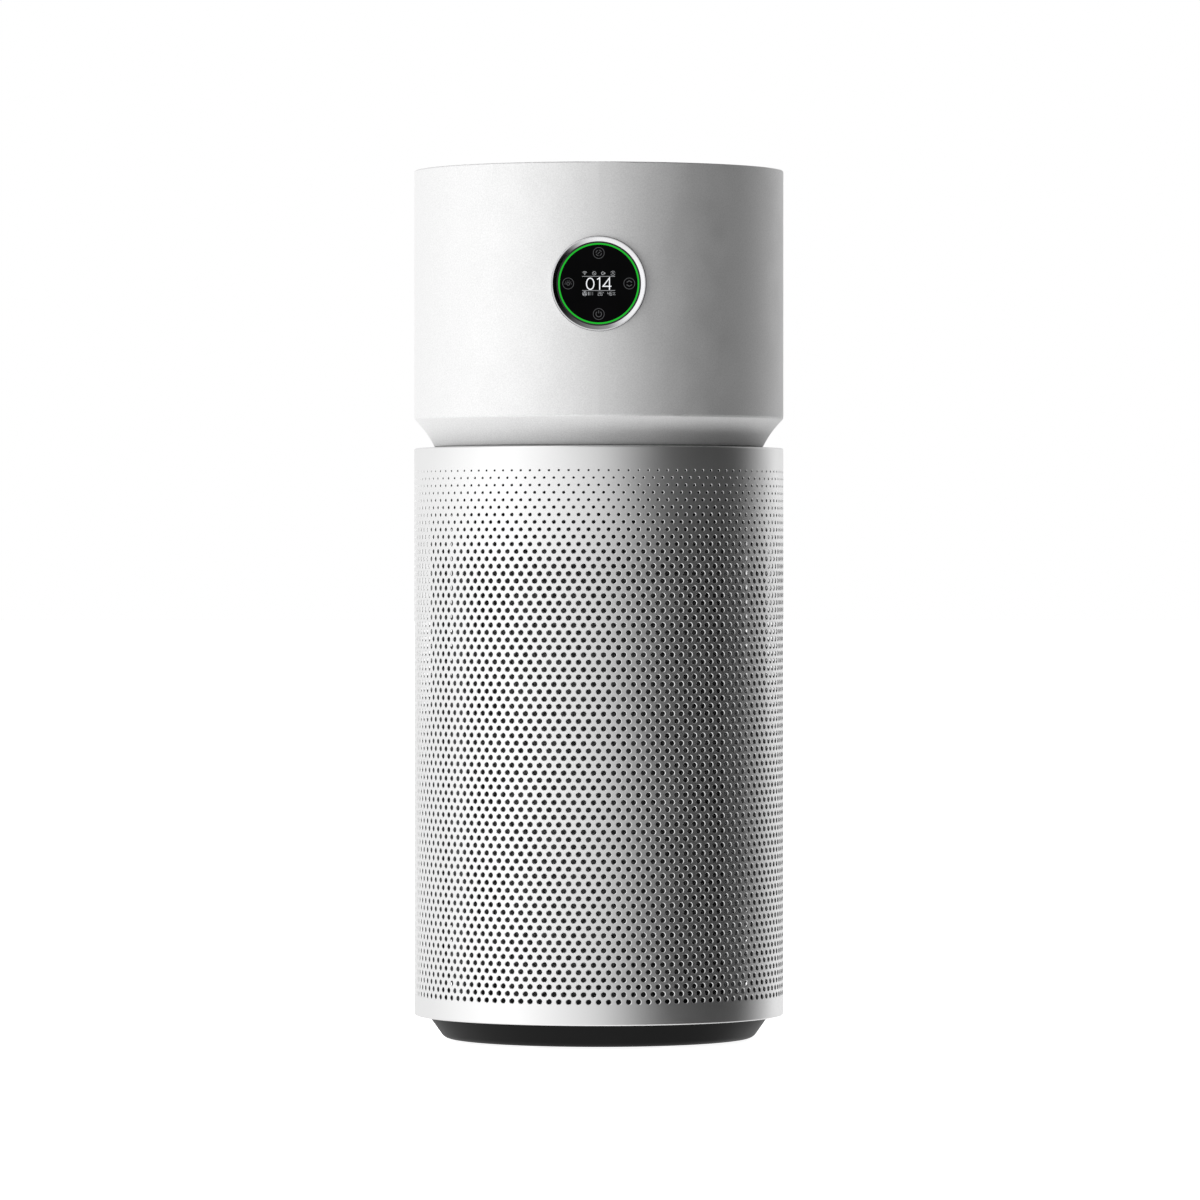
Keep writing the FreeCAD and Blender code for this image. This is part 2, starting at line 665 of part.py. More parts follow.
def make_filter():
    """The ring-shaped cartridge: pleated paper between two caps, netting outside, carbon inside."""
    lift = "tray_top + fit_gap"
    paper_low, paper_high = f"{lift} + cap_height", "filter_top - cap_height"
    for label, low, high, lip_low, lip_high in (
        ("filter_bottom_cap", lift, paper_low, paper_low, f"{paper_low} + 5"),
        ("filter_top_cap", paper_high, "filter_top", f"{paper_high} - 5", paper_high),
    ):
        cap = ring(label, "carbon_inner", "filter_radius", low, high)
        revolve(cap, [rectangle("netting_radius", "filter_radius", lip_low, lip_high)])
    ring("frame_gasket", "98", "112", "filter_top + fit_gap", "frame_bottom")
    ring("filter_netting", "netting_radius - 1.2", "netting_radius", paper_low, paper_high)
    ring("carbon_sleeve", "carbon_inner", "carbon_outer", paper_low, paper_high)

    outline = folded_edge("pleat_outer", "pleat_inner + paper_shift")
    bore = folded_edge("pleat_outer - paper_shift", "pleat_inner")
    face = Part.Face(outline).cut(Part.Face(bore)).Faces[0]
    base = number(paper_low)
    pleats = doc.addObject("Part::Feature", "filter_pleats")
    pleats.Shape = face.extrude(Vector(0, 0, number(paper_high) - base))
    pleats.Placement.Base.z = base
    keep("filter_pleats", pleats)

    strap = new_body("filter_strap")
    loop = [
        ("32", "113.6", "37", "left"),
        ("-32", "113.6"),
        ("-29.6", "114.3", "35.6", "right"),
        ("29.6", "114.3"),
    ]
    middle = "(tray_top + filter_top) / 2"
    pad(strap, [loop], f"{middle} - strap_height / 2", "strap_height")


def folded_edge(outer, inner):
    """One side of the folded paper, seen from above: a zigzag between two radii."""
    folds = int(number("pleat_count"))
    radii = (number(outer), number(inner))
    corners = [
        Rotation(Vector(0, 0, 1), 180 * corner / folds).multVec(Vector(radii[corner % 2], 0, 0))
        for corner in range(2 * folds)
    ]
    return Part.makePolygon(corners + corners[:1])


# ---------------------------------------------------------------- fan


def curved_plate(inner, outer, sweep, thickness, curve):
    """Plan of a curved blade from an inner to an outer radius; sweep is the angle between its ends."""
    x, y = on_circle(outer, sweep)
    back_x, back_y = on_circle(outer, f"{sweep} + ({thickness}) / ({outer}) * 57.3 * 1.3")
    return [
        (inner, "0", curve, "left"),
        (x, y),
        (back_x, back_y, f"({curve}) - ({thickness})", "right"),
        (inner, f"({thickness}) * 1.4"),
    ]


def make_fan():
    """The rotor, which is a moulded wheel on the motor shaft, and the air path round it."""
    plate_top = "frame_bottom + frame_plate"
    bell = new_body("bell_mouth")
    throat = "inlet_radius + 2.5"
    revolve(
        bell,
        [
            [
                ("frame_bore + 3", plate_top),
                ("bell_radius", plate_top),
                ("bell_radius", f"{plate_top} + 2.5"),
                ("frame_bore + 3.5", f"{plate_top} + 2.5", "11", "right"),
                (throat, f"{plate_top} + 12"),
                (throat, "inlet_top"),
                ("inlet_radius", "inlet_top"),
                ("inlet_radius", f"{plate_top} + 12", "13", "left"),
            ]
        ],
    )
    hole = pocket(bell, [("bell_radius - 5", "0", "screw_pilot")], f"{plate_top} + 3", "4")
    polar(bell, hole, "standoff_count")

    guard = new_body("inlet_guard")
    low, high = "frame_bottom", "frame_bottom + 3"
    rims = ("24", "48", "71", "frame_bore - 2")
    revolve(guard, [rectangle(rim, f"{rim} + 2", low, high) for rim in rims])
    spoke = pad(guard, [rectangle("25", "frame_bore - 1", "-1", "1")], low, "3")
    polar(guard, spoke, "8")

    duct = new_body("fan_duct")
    duct_bore = "duct_radius - duct_wall"
    floor_top = "neck_top + 2.5"
    revolve(
        duct,
        [
            [
                (throat, "neck_top"),
                ("duct_radius", "neck_top"),
                ("duct_radius", "duct_top"),
                (duct_bore, "duct_top"),
                (duct_bore, floor_top),
                (throat, floor_top),
            ]
        ],
    )
    x, y = on_circle("lead_circle", "lead_angle")
    pocket(duct, [(x, y, "lead_hole")], f"{floor_top} + 1", "5")

    wheel = new_body("impeller")
    hub_top = "impeller_high + 6"
    revolve(
        wheel,
        [
            [
                ("shaft_radius", "shaft_bottom"),
                ("14", "shaft_bottom"),
                ("18", "560"),
                ("40", "impeller_high - 1"),
                ("impeller_radius", "impeller_high"),
                ("impeller_radius", "impeller_high + 2.5"),
                ("20", "impeller_high + 2.5"),
                ("12", hub_top),
                ("shaft_radius", hub_top),
            ]
        ],
    )
    plan = curved_plate("impeller_eye", "impeller_radius", 40, "blade_thickness", "blade_curve")
    blade = pad(wheel, [plan], "impeller_low", "impeller_high + 0.2 - impeller_low")
    polar(wheel, blade, "impeller_blades")
    cone_low = "impeller_low + 4.2"
    groove(
        wheel,
        [
            [
                ("inlet_radius + 5", "impeller_low - 6"),
                ("impeller_radius + 5", "impeller_low - 6"),
                ("impeller_radius + 5", "impeller_low + 19.8"),
                ("impeller_radius", "impeller_low + 16.2"),
                ("inlet_radius + 7", cone_low),
            ]
        ],
    )
    shroud = new_body("impeller_shroud")
    revolve(
        shroud,
        [
            [
                ("inlet_radius + 5", "impeller_low - 6"),
                ("inlet_radius + 7", "impeller_low - 6"),
                ("inlet_radius + 8.6", "impeller_low + 2.4"),
                ("impeller_radius", "impeller_low + 14"),
                ("impeller_radius", "impeller_low + 16.2"),
                ("inlet_radius + 7", cone_low),
            ]
        ],
    )

    vanes = new_body("guide_vanes")
    top = "vane_bottom + vane_height"
    revolve(
        vanes,
        [
            rectangle("pod_radius", "pod_radius + 2", "vane_bottom", top),
            rectangle(f"{duct_bore} - 2", duct_bore, "vane_bottom", top),
        ],
    )
    vane = pad(
        vanes, [rectangle("pod_radius + 1", f"{duct_bore} - 1", "-1.2", "1.2")], "vane_bottom", "vane_height"
    )
    polar(vanes, vane, "vane_count")


def make_motor():
    """An outer-rotor motor in the pod: the cup and magnets turn round the stator on two bearings."""
    pod = new_body("motor_pod")
    pod_inner = "pod_radius - pod_wall"
    floor_top = "pod_bottom + 3"
    revolve(
        pod,
        [
            [
                ("15", "pod_bottom"),
                ("pod_radius", "pod_bottom"),
                ("pod_radius", "duct_top"),
                (pod_inner, "duct_top"),
                (pod_inner, floor_top),
                ("15", floor_top),
            ]
        ],
    )
    post = pad(pod, [("56", "0", "boss_radius")], f"{floor_top} - 1", f"bracket_bottom - ({floor_top}) + 1")
    polar(pod, post, "standoff_count")
    pilot = pocket(pod, [("56", "0", "screw_pilot")], "bracket_bottom + 1", "15")
    polar(pod, pilot, "standoff_count")
    angle = math.radians(number("lead_angle"))
    outward = Vector(math.cos(angle), math.sin(angle), 0)
    x, y = on_circle("pod_radius - 8", "lead_angle")
    drill = rod("lead_drill", x, y, "lead_high", "lead_hole", "20", outward)
    nodes.remove(pod)
    pod.Label = "motor_pod_body"
    keep("motor_pod", cut("motor_pod_cut", pod, drill))

    bracket = new_body("motor_bracket")
    flange_top = "bracket_bottom + 4"
    revolve(
        bracket,
        [
            [
                ("bearing_radius", "stator_bottom"),
                ("12", "stator_bottom"),
                ("12", "bracket_bottom"),
                ("62", "bracket_bottom"),
                ("62", flange_top),
                ("bearing_radius", flange_top),
            ]
        ],
    )
    hole = pocket(bracket, [("56", "0", "screw_pilot")], f"{flange_top} + 1", "6")
    polar(bracket, hole, "standoff_count")
    places = [on_circle("56", angle) for angle in angles_of("standoff_count")]
    screws("motor_screws", places, "bracket_bottom - 12", flange_top, head_side=1)

    bore = "shaft_radius + bearing_play"
    ring("lower_bearing", bore, "bearing_radius", "stator_bottom + 1", "stator_bottom + 1 + bearing_height")
    ring("upper_bearing", bore, "bearing_radius", "shaft_top - 2 - bearing_height", "shaft_top - 2")
    ring("motor_shaft", "0", "shaft_radius", "shaft_bottom", "shaft_top")

    cup = new_body("rotor_cup")
    cup_floor = "pod_bottom + 6"
    revolve(
        cup,
        [
            [
                ("shaft_radius", cup_floor),
                ("42", cup_floor),
                ("42", "stator_bottom + 27"),
                ("39.8", "stator_bottom + 27"),
                ("39.8", f"{cup_floor} + 2.2"),
                ("shaft_radius", f"{cup_floor} + 2.2"),
            ]
        ],
    )
    ring("rotor_magnets", "36.6", "39.8", "stator_bottom - 2", "stator_bottom + 25")

    core = new_body("stator_core")
    stack_top = "stator_bottom + stator_height"
    revolve(
        core,
        [
            rectangle("12", "18", "stator_bottom", stack_top),
            rectangle("33", "stator_radius", "stator_bottom", stack_top),
        ],
    )
    tooth = pad(core, [rectangle("17", "34", "-2.2", "2.2")], "stator_bottom", "stator_height")
    polar(core, tooth, "tooth_count")
    slits = pocket(core, [rectangle("32", "37", "-0.8", "0.8")], f"{stack_top} + 1", "stator_height + 2")
    slits.Profile[0].AttachmentOffset.Rotation = Rotation(Vector(0, 0, 1), 15)
    polar(core, slits, "tooth_count")
    coils = []
    for angle in angles_of("tooth_count"):
        outside = block("coil_outside", "20.5", "31.5", "-4", "4", "stator_bottom - 2", f"{stack_top} + 2")
        inside = block("coil_inside", "20", "32", "-2.3", "2.3", "stator_bottom - 0.1", f"{stack_top} + 0.1")
        coil = cut("coil", outside, inside)
        coil.Placement = Placement(Vector(), Rotation(Vector(0, 0, 1), angle))
        coils.append(coil)
    group("stator_coils", coils)


def make_electronics():
    """The control board and the power board above the motor, on standoffs."""
    places = [on_circle("standoff_circle", angle) for angle in angles_of("standoff_count", first=45)]
    flange_top = "bracket_bottom + 4"
    posts, spacers = [], []
    for x, y in places:
        for pieces, low, high in (
            (posts, flange_top, "control_height"),
            (spacers, "control_height + board_thickness", "power_height"),
        ):
            post = rod("standoff", x, y, low, "3", f"({high}) - ({low})")
            pilot = rod("standoff_pilot", x, y, low, "screw_pilot", f"({high}) - ({low})")
            pieces.append(cut("standoff_tube", post, pilot))
    group("board_standoffs", posts + spacers)
    for label, height in (("control_board", "control_height"), ("power_board", "power_height")):
        board = ring(label, "0", "board_radius", height, f"{height} + board_thickness")
        pocket(board, [(x, y, "screw_pilot") for x, y in places], f"{height} + 3", "5")
    screws("board_screws", places, flange_top, "power_height + board_thickness", head_side=1)

    top = "control_height + board_thickness"
    chips = [
        block("processor", "-8", "8", "-8", "8", top, f"{top} + 1.6"),
        block("radio", "20", "36", "-12", "6", top, f"{top} + 2.4"),
        block("driver", "-34", "-26", "-6", "6", top, f"{top} + 2"),
        block("socket_a", "-10", "6", "34", "41", top, f"{top} + 6"),
        block("socket_b", "-6", "6", "-42", "-35", top, f"{top} + 6"),
    ]
    group("control_parts", chips)
    top = "power_height + board_thickness"
    parts = [
        block("transformer", "-14", "12", "-12", "14", top, f"{top} + 18"),
        block("choke", "22", "40", "-10", "8", top, f"{top} + 14"),
        rod("bulk_capacitor", "-30", "2", top, "9", "19"),
        rod("output_capacitor", "4", "32", top, "6", "15"),
        rod("second_capacitor", "-12", "32", top, "6", "15"),
        block("heat_sink", "-20", "20", "-38", "-28", top, f"{top} + 16"),
    ]
    group("power_parts", parts)


# ---------------------------------------------------------------- head


def make_head():
    """The head's shell with its bevel, the sloping ring inside its rim, the grille and the cap."""
    shell = new_body("head_shell")
    inner = "outer_radius - wall"
    lip = "neck_radius + bevel_gap"
    revolve(
        shell,
        [
            [
                (lip, "bevel_bottom", "bevel_curve", "right"),
                ("outer_radius - 0.7", "bevel_top - 1", "bevel_round", "left"),
                ("outer_radius", "bevel_top + 0.9"),
                ("outer_radius", "head_top - edge_round", "edge_round", "left"),
                ("outer_radius - edge_round", "head_top"),
                (inner, "head_top"),
                (inner, "bevel_top + 1.4"),
                ("neck_radius + 1.6", "bevel_bottom + 8.5"),
                (lip, "bevel_bottom + 8.5"),
            ]
        ],
    )
    side_pocket(
        shell, [("0", "display_height", "bezel_radius + fit_gap")], "outer_radius + 10", to_front=True
    )
    half = "hatch_width / 2"
    opening = rectangle(f"-({half})", half, "hatch_bottom", "hatch_bottom + hatch_height")
    side_pocket(shell, [opening], "outer_radius + 10", to_front=False)

    rim = new_body("top_ring")
    revolve(
        rim,
        [
            [
                ("duct_radius - 1.6", "duct_top + grille_height + 0.6"),
                ("duct_radius - 1.6", "duct_top"),
                ("duct_radius + 0.6", "duct_top"),
                (inner, "head_top - 5"),
                (inner, "head_top - 1.4"),
            ]
        ],
    )

    grille = new_body("outlet_grille")
    low, high = "duct_top", "duct_top + grille_height"
    outer = "duct_radius - 1.8"
    revolve(
        grille,
        [
            rectangle("pod_radius + 0.6", "pod_radius + 3", low, high),
            rectangle("88", "89.6", f"{low} + 1", high),
            rectangle("109", "110.6", f"{low} + 1", high),
            rectangle(f"{outer} - 2.4", outer, low, high),
        ],
    )
    plan = curved_plate("pod_radius + 2", f"{outer} - 1", 24, "slat_thickness", "slat_curve")
    slat = pad(grille, [plan], f"{low} + 0.5", "grille_height - 1")
    polar(grille, slat, "grille_vanes")

    cap = new_body("centre_cap")
    revolve(
        cap,
        [
            [
                ("0", "duct_top + 10"),
                ("pod_radius - pod_wall", "duct_top + 8"),
                ("pod_radius - pod_wall", "duct_top"),
                ("pod_radius", "duct_top"),
                ("pod_radius", "duct_top + 9.4", "1.6", "left"),
                ("pod_radius - 1.6", "duct_top + 11"),
                ("0", "duct_top + 12.4"),
            ]
        ],
    )


def make_display():
    """The round display: each piece is turned about the display's axis, then faced to the front."""
    face = "display_face"
    glass_back = f"{face} - 3.5"
    profiles = {
        "bezel_ring": [
            ("bezel_inner", f"{face} - 11"),
            ("bezel_radius", f"{face} - 11"),
            ("bezel_radius", f"{face} - 0.4", "0.4", "left"),
            ("bezel_radius - 0.4", face),
            ("bezel_radius - 1", face),
            ("bezel_inner", f"{face} - 1.5"),
        ],
        "glass_mask": rectangle("glass_radius + 1.3", "bezel_inner", f"{face} - 5", f"{face} - 1.6"),
        "light_ring": rectangle("glass_radius + 0.05", "glass_radius + 1.25", f"{face} - 5", f"{face} - 1.65"),
        "display_glass": rectangle("0", "glass_radius", glass_back, f"{face} - 1.6"),
        "display_board": rectangle("0", "bezel_inner", f"{face} - 8.6", f"{face} - 7"),
        "display_cup": [
            ("0", f"{face} - 17"),
            ("bezel_radius", f"{face} - 17"),
            ("bezel_radius", f"{face} - 11"),
            ("bezel_inner + 1", f"{face} - 11"),
            ("bezel_inner + 1", f"{face} - 15"),
            ("0", f"{face} - 15"),
        ],
    }
    pieces = []
    for label, profile in profiles.items():
        body = new_body(label)
        revolve(body, [profile])
        pieces.append(body)
    panel = block("display_panel", "-18", "18", "-14", "14", f"{face} - 5.2", glass_back)
    pieces.append(keep("display_panel", panel))
    keys = []
    for angle in angles_of("4"):
        x, y = on_circle("key_circle", angle)
        keys.append(rod("touch_pad", x, y, f"{face} - 7", "4.4", "3.5"))
    pieces.append(group("touch_pads", keys))
    for piece in pieces:
        turned = Placement(Vector(), Rotation(Vector(1, 0, 0), 90))
        if piece.Label == "display_panel":
            face_forward(piece, turned)
            continue
        piece.Placement = turned
        piece.setExpression("Placement.Base.z", bind("display_height"))


def face_forward(panel, turned):
    """Moves the flat panel, whose own placement holds its corner, to the display's place."""
    corner = turned.multVec(Vector(number("-18"), number("-14"), number("display_face - 5.2")))
    panel.setExpression("Placement.Base.x", None)
    panel.setExpression("Placement.Base.y", None)
    panel.setExpression("Placement.Base.z", None)
    panel.Placement = Placement(corner, turned.Rotation)
    panel.setExpression("Placement.Base.y", bind("-(display_face - 5.2)"))
    panel.setExpression("Placement.Base.z", bind("display_height - 14"))


def make_sensor():
    """The dust sensor behind a louvred hatch that swings down on its lower edge."""
    low, high = "hatch_bottom + fit_gap", "hatch_bottom + hatch_height - fit_gap"
    half = "hatch_width / 2 - fit_gap"
    outside = rod("hatch_outside", "0", "0", low, "outer_radius", f"({high}) - ({low})")
    inside = rod("hatch_inside", "0", "0", low, "outer_radius - wall", f"({high}) - ({low})")
    window = block("hatch_window", f"-({half})", half, "100", "160", low, high)
    panel = doc.addObject("Part::MultiCommon", "hatch_panel")
    panel.Shapes = [cut("hatch_tube", outside, inside), window]
    louvres = [
        block("louvre", "-15", "15", "100", "160", f"{low} + {step}", f"{low} + {step} + 2.2")
        for step in (9, 14, 19, 24, 29, 34)
    ]
    keep("sensor_hatch", cut("sensor_hatch", panel, *louvres))
    case = block("sensor_case", "-19", "19", "133.6", "144", "hatch_bottom + 2", "hatch_bottom + 42")
    lens = rod("sensor_lens", "6", "139", "hatch_bottom + 26", "5", "10", Vector(0, 1, 0))
    keep("dust_sensor", cut("dust_sensor", case, lens))


# ---------------------------------------------------------------- build


def is_sound(shape):
    """Whether a shape is valid and holds only solids with some volume."""
    if shape.isNull() or not shape.isValid():
        return False
    return bool(shape.Solids) and min(solid.Volume for solid in shape.Solids) > 0


def check_document():
    """Stops where an object failed, or where a sub-part has no sound solid."""
    doc.recompute()
    failed = [item.Name for item in doc.Objects if {"Invalid", "Error"} & set(item.State)]
    if failed:
        raise SystemExit(f"these objects failed: {failed}")
    unsound = [node.Label for node in nodes if not is_sound(node.Shape)]
    if unsound:
        raise SystemExit(f"these sub-parts have no valid solid: {unsound}")


def main():
    make_base()
    make_mains_inlet()
    make_skins()
    make_neck(make_columns())
    make_latch()
    make_filter()
    make_fan()
    make_motor()
    make_electronics()
    make_head()
    make_display()
    make_sensor()
    check_document()
    os.makedirs("parts", exist_ok=True)
    for node in nodes:
        node.Shape.exportStep(os.path.join("parts", node.Label + ".step"))
        print(node.Label, len(node.Shape.Solids), round(node.Shape.Volume))


main()
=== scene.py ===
import json
import math

import bpy
import numpy as np
from mathutils import Matrix, Vector

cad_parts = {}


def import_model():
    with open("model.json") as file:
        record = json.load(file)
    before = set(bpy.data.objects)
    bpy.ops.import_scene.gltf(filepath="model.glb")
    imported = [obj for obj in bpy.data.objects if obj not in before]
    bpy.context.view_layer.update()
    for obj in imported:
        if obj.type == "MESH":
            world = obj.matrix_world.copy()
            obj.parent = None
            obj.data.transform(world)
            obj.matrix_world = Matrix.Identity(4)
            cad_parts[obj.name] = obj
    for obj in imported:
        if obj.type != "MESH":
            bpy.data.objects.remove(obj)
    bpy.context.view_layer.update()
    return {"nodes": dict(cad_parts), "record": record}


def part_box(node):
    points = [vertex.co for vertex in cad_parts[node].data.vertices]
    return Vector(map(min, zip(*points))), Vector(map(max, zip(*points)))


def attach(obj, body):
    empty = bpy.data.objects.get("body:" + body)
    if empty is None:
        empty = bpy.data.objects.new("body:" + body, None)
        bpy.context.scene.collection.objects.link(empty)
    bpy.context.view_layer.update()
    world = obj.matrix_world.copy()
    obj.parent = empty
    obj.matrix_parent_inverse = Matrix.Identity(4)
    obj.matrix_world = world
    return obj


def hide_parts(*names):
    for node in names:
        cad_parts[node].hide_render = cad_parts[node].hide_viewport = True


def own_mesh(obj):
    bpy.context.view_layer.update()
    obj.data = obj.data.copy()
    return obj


# The tower stands on z = 0 with its axis on Z, and its display faces -Y.
# Lengths are in metres and angles in degrees. The skins' angles are counted from +X.

MM = 0.001
RADIUS = 149.98 * MM
WALL, SHEET = 2 * MM, 0.8 * MM
SHELL_BOTTOM, SHELL_TOP = 21 * MM, 481 * MM
DECK_RADIUS, FLANGE_RADIUS = 135.5 * MM, 140 * MM
EDGE_ROUND, DECK_ROUND, RIM_ROUND = 1.2 * MM, 1.5 * MM, 0.5 * MM
DOOR_MIDDLE, DOOR_HALF, SEAM_HALF = 90, 60, 0.2
LATCH_SLOT_NEAR, LATCH_SLOT_FAR, LATCH_GAP = 137 * MM, 146 * MM, 0.5 * MM
SHARP_ANGLE = 30

# The holes stand in staggered rows. Each lies in a cell that is CELL_STEPS lattice steps wide.
HOLE_ROWS = 73
FIRST_ROW, ROW_PITCH = 39.9 * MM, 5.857 * MM
HOLE_FIELD = (FIRST_ROW - ROW_PITCH / 2, FIRST_ROW + (HOLE_ROWS - 0.5) * ROW_PITCH)
HOLE_PITCH, CELL_STEPS = 3.05, 4
LATTICE_STEP = HOLE_PITCH / CELL_STEPS
HOLE_SIDES = 16
FULL_BORE, SMALLEST_BORE, BORE_GROWTH = 4.1 * MM, 1.6 * MM, 0.18 * MM
# A hole of full bore has the whole chamfer; a smaller one has less, and never less than this share.
CHAMFER, LEAST_CHAMFER = 0.42 * MM, 0.4

# Each strand of the net turns by NET_LEAN on its way up; the two layers lie STRAND_SHIFT to either side.
NET_RADIUS, NET_STRANDS, NET_LEAN, NET_STEPS = 117.45 * MM, 72, 150, 44
STRAND_HALF, STRAND_WIDENING, STRAND_SHIFT = 0.42 * MM, 1.3, 0.12 * MM
CLOTH_RADIUS, CLOTH_HALF = 116.5 * MM, 0.3 * MM

WIRE_RADIUS, WIRE_SIDES = 0.35 * MM, 8
SPRING_TURNS, TURN_STEPS, FLAT_END = 7, 24, 0.1

# The display's symbols lie on the glass. Their coordinates are in millimetres from its centre.
DISPLAY_Z, GLASS_FACE = 609.3 * MM, 149.9 * MM
SYMBOL_LIFT, SYMBOL_THICKNESS = 0.01 * MM, 0.02 * MM
KEY_REACH, KEY_RADIUS = 24.2, 4.35
DIGIT_STROKE, LINE_STROKE, THIN_STROKE = 0.85, 0.45, 0.35
ICON_ROW, READING_ROW, BAR_ENDS = 8.1, -8.1, (-9.3, -6.7)
# The least cosine that a ribbon's corner is drawn with, so that a sharp corner grows no spike.
LEAST_COSINE = 0.35

CAMERA_PLACE, CAMERA_DIP = (0.001, -5.8, 0.39), 0.3178
FOCAL_LENGTH, SENSOR_WIDTH = 214, 36
FLOOR_RADII, FLOOR_SIDES = (0.5, 3.0, 40.0), 60


# ---------------------------------------------------------------- meshes


def new_piece(name, vertices, faces, material, body="housing", slot=None, sharp=SHARP_ANGLE):
    """A mesh piece that rides on a CAD body."""
    mesh = bpy.data.meshes.new(name)
    mesh.from_pydata(vertices, [], faces)
    mesh.validate()
    mesh.shade_smooth()
    mesh.set_sharp_from_angle(angle=math.radians(sharp))
    mesh.materials.append(material)
    piece = bpy.data.objects.new(name, mesh)
    bpy.context.scene.collection.objects.link(piece)
    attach(piece, body)
    return piece


def cylinder_points(radius, degrees, heights):
    """Points on a cylinder round Z, as an array of rows."""
    turn = np.radians(degrees)
    turn, heights = np.broadcast_arrays(turn, heights)
    return np.stack([radius * np.cos(turn), radius * np.sin(turn), heights], axis=-1).reshape(-1, 3)


def sweep_profile(profile, degrees):
    """Vertices and faces of a closed section (radius, height), turned through a list of angles."""
    count, steps = len(profile), len(degrees)
    profile = np.array(profile)
    vertices = np.concatenate([cylinder_points(profile[:, 0], angle, profile[:, 1]) for angle in degrees])
    whole = abs(degrees[-1] - degrees[0] - 360) < 1e-6
    if whole:
        vertices = vertices[:-count]
    faces = []
    for step in range(steps - 1):
        near, far = step * count, ((step + 1) % (steps - 1) if whole else step + 1) * count
        for at in range(count):
            after = (at + 1) % count
            faces.append((near + at, far + at, far + after, near + after))
    if not whole:
        faces.append(tuple(range(count)))
        faces.append(tuple(reversed(range((steps - 1) * count, steps * count))))
    return vertices, faces


def rounded(corners, radii, steps=4):
    """A closed polygon with its corners rounded; a radius of 0 leaves a corner as it is."""
    result = []
    count = len(corners)
    for at, (corner, radius) in enumerate(zip(corners, radii)):
        corner = Vector(corner)
        if not radius:
            result.append(tuple(corner))
            continue
        before = (Vector(corners[at - 1]) - corner).normalized()
        after = (Vector(corners[(at + 1) % count]) - corner).normalized()
        half = before.angle(after) / 2
        reach = radius / math.tan(half)
        centre = corner + (before + after).normalized() * (radius / math.sin(half))
        first, last = corner + before * reach - centre, corner + after * reach - centre
        turn = first.angle_signed(last)
        for step in range(steps + 1):
            result.append(tuple(centre + Matrix.Rotation(-turn * step / steps, 2) @ first))
    return result


def add_tube(vertices, faces, rings):
    """Adds a closed tube through rings of points to lists of vertices and faces."""
    sides, first = len(rings[0]), len(vertices)
    last = first + sides * (len(rings) - 1)
    vertices += [tuple(point) for ring in rings for point in ring]
    for start in range(first, last, sides):
        for side in range(sides):
            a, b = start + side, start + (side + 1) % sides
            faces.append((a, b, b + sides, a + sides))
    faces.append(tuple(reversed(range(first, first + sides))))
    faces.append(tuple(range(last, last + sides)))


def cut_box(piece, low, high):
    """Cuts a box out of a piece."""
    corners = [(x, y, z) for x in (low[0], high[0]) for y in (low[1], high[1]) for z in (low[2], high[2])]
    faces = [(0, 1, 3, 2), (4, 6, 7, 5), (0, 4, 5, 1), (2, 3, 7, 6), (0, 2, 6, 4), (1, 5, 7, 3)]
    mesh = bpy.data.meshes.new("cutter")
    mesh.from_pydata(corners, [], faces)
    cutter = bpy.data.objects.new("cutter", mesh)
    bpy.context.scene.collection.objects.link(cutter)
    modifier = piece.modifiers.new("opening", "BOOLEAN")
    modifier.operation, modifier.object, modifier.solver = "DIFFERENCE", cutter, "EXACT"
    bpy.context.view_layer.update()
    evaluated = piece.evaluated_get(bpy.context.evaluated_depsgraph_get())
    result = bpy.data.meshes.new_from_object(evaluated)
    piece.modifiers.clear()
    old, piece.data = piece.data, result
    bpy.data.meshes.remove(old)
    result.shade_smooth()
    result.set_sharp_from_angle(angle=math.radians(SHARP_ANGLE))
    bpy.data.objects.remove(cutter)
    bpy.data.meshes.remove(mesh)


# ---------------------------------------------------------------- perforated skins


def merge_rings(outer, inner):
    """Triangles between two rings of points round a common centre, both counter-clockwise.

    A corner is named by its ring, "o" or "i", and its place in it.
    """
    turn = [math.atan2(y, x) for x, y in outer], [math.atan2(y, x) for x, y in inner]
    start = min(range(len(inner)), key=lambda k: abs(turn[1][k] - turn[0][0]))
    whole_turn = 2 * math.pi
    spent = whole_turn + 1
    faces, i, j = [], 0, 0
    while i < len(outer) or j < len(inner):
        a, b = i % len(outer), (start + j) % len(inner)
        a_next, b_next = (i + 1) % len(outer), (start + j + 1) % len(inner)
        ahead_outer = (turn[0][a_next] - turn[0][0]) % whole_turn if i + 1 < len(outer) else spent
        ahead_inner = (turn[1][b_next] - turn[0][0]) % whole_turn if j + 1 < len(inner) else spent
        if i < len(outer) and (j >= len(inner) or ahead_outer <= ahead_inner):
            faces.append((("o", a), ("o", a_next), ("i", b)))
            i += 1
        else:
            faces.append((("i", b), ("o", a), ("i", b_next)))
            j += 1
    return faces


def cell_pattern():
    """Triangles between a hole and the edge of its cell, with the edge's points as (column, row)."""
    along = range(CELL_STEPS + 1)
    edge = [(m, 0) for m in along] + [(m, 1) for m in reversed(along)]
    width = math.radians(HOLE_PITCH) * RADIUS
    outer = [((m / CELL_STEPS - 0.5) * width, (n - 0.5) * ROW_PITCH) for m, n in edge]
    ring = [2 * math.pi * k / HOLE_SIDES for k in range(HOLE_SIDES)]
    inner = [(math.cos(a) * FULL_BORE / 2, math.sin(a) * FULL_BORE / 2) for a in ring]
    return edge, merge_rings(outer, inner)


def bore_of_row(row):
    """Inner diameter of the holes in a row: the uppermost rows shrink to pinholes."""
    from_top = HOLE_ROWS - 1 - row
    return min(FULL_BORE, SMALLEST_BORE + BORE_GROWTH * from_top)


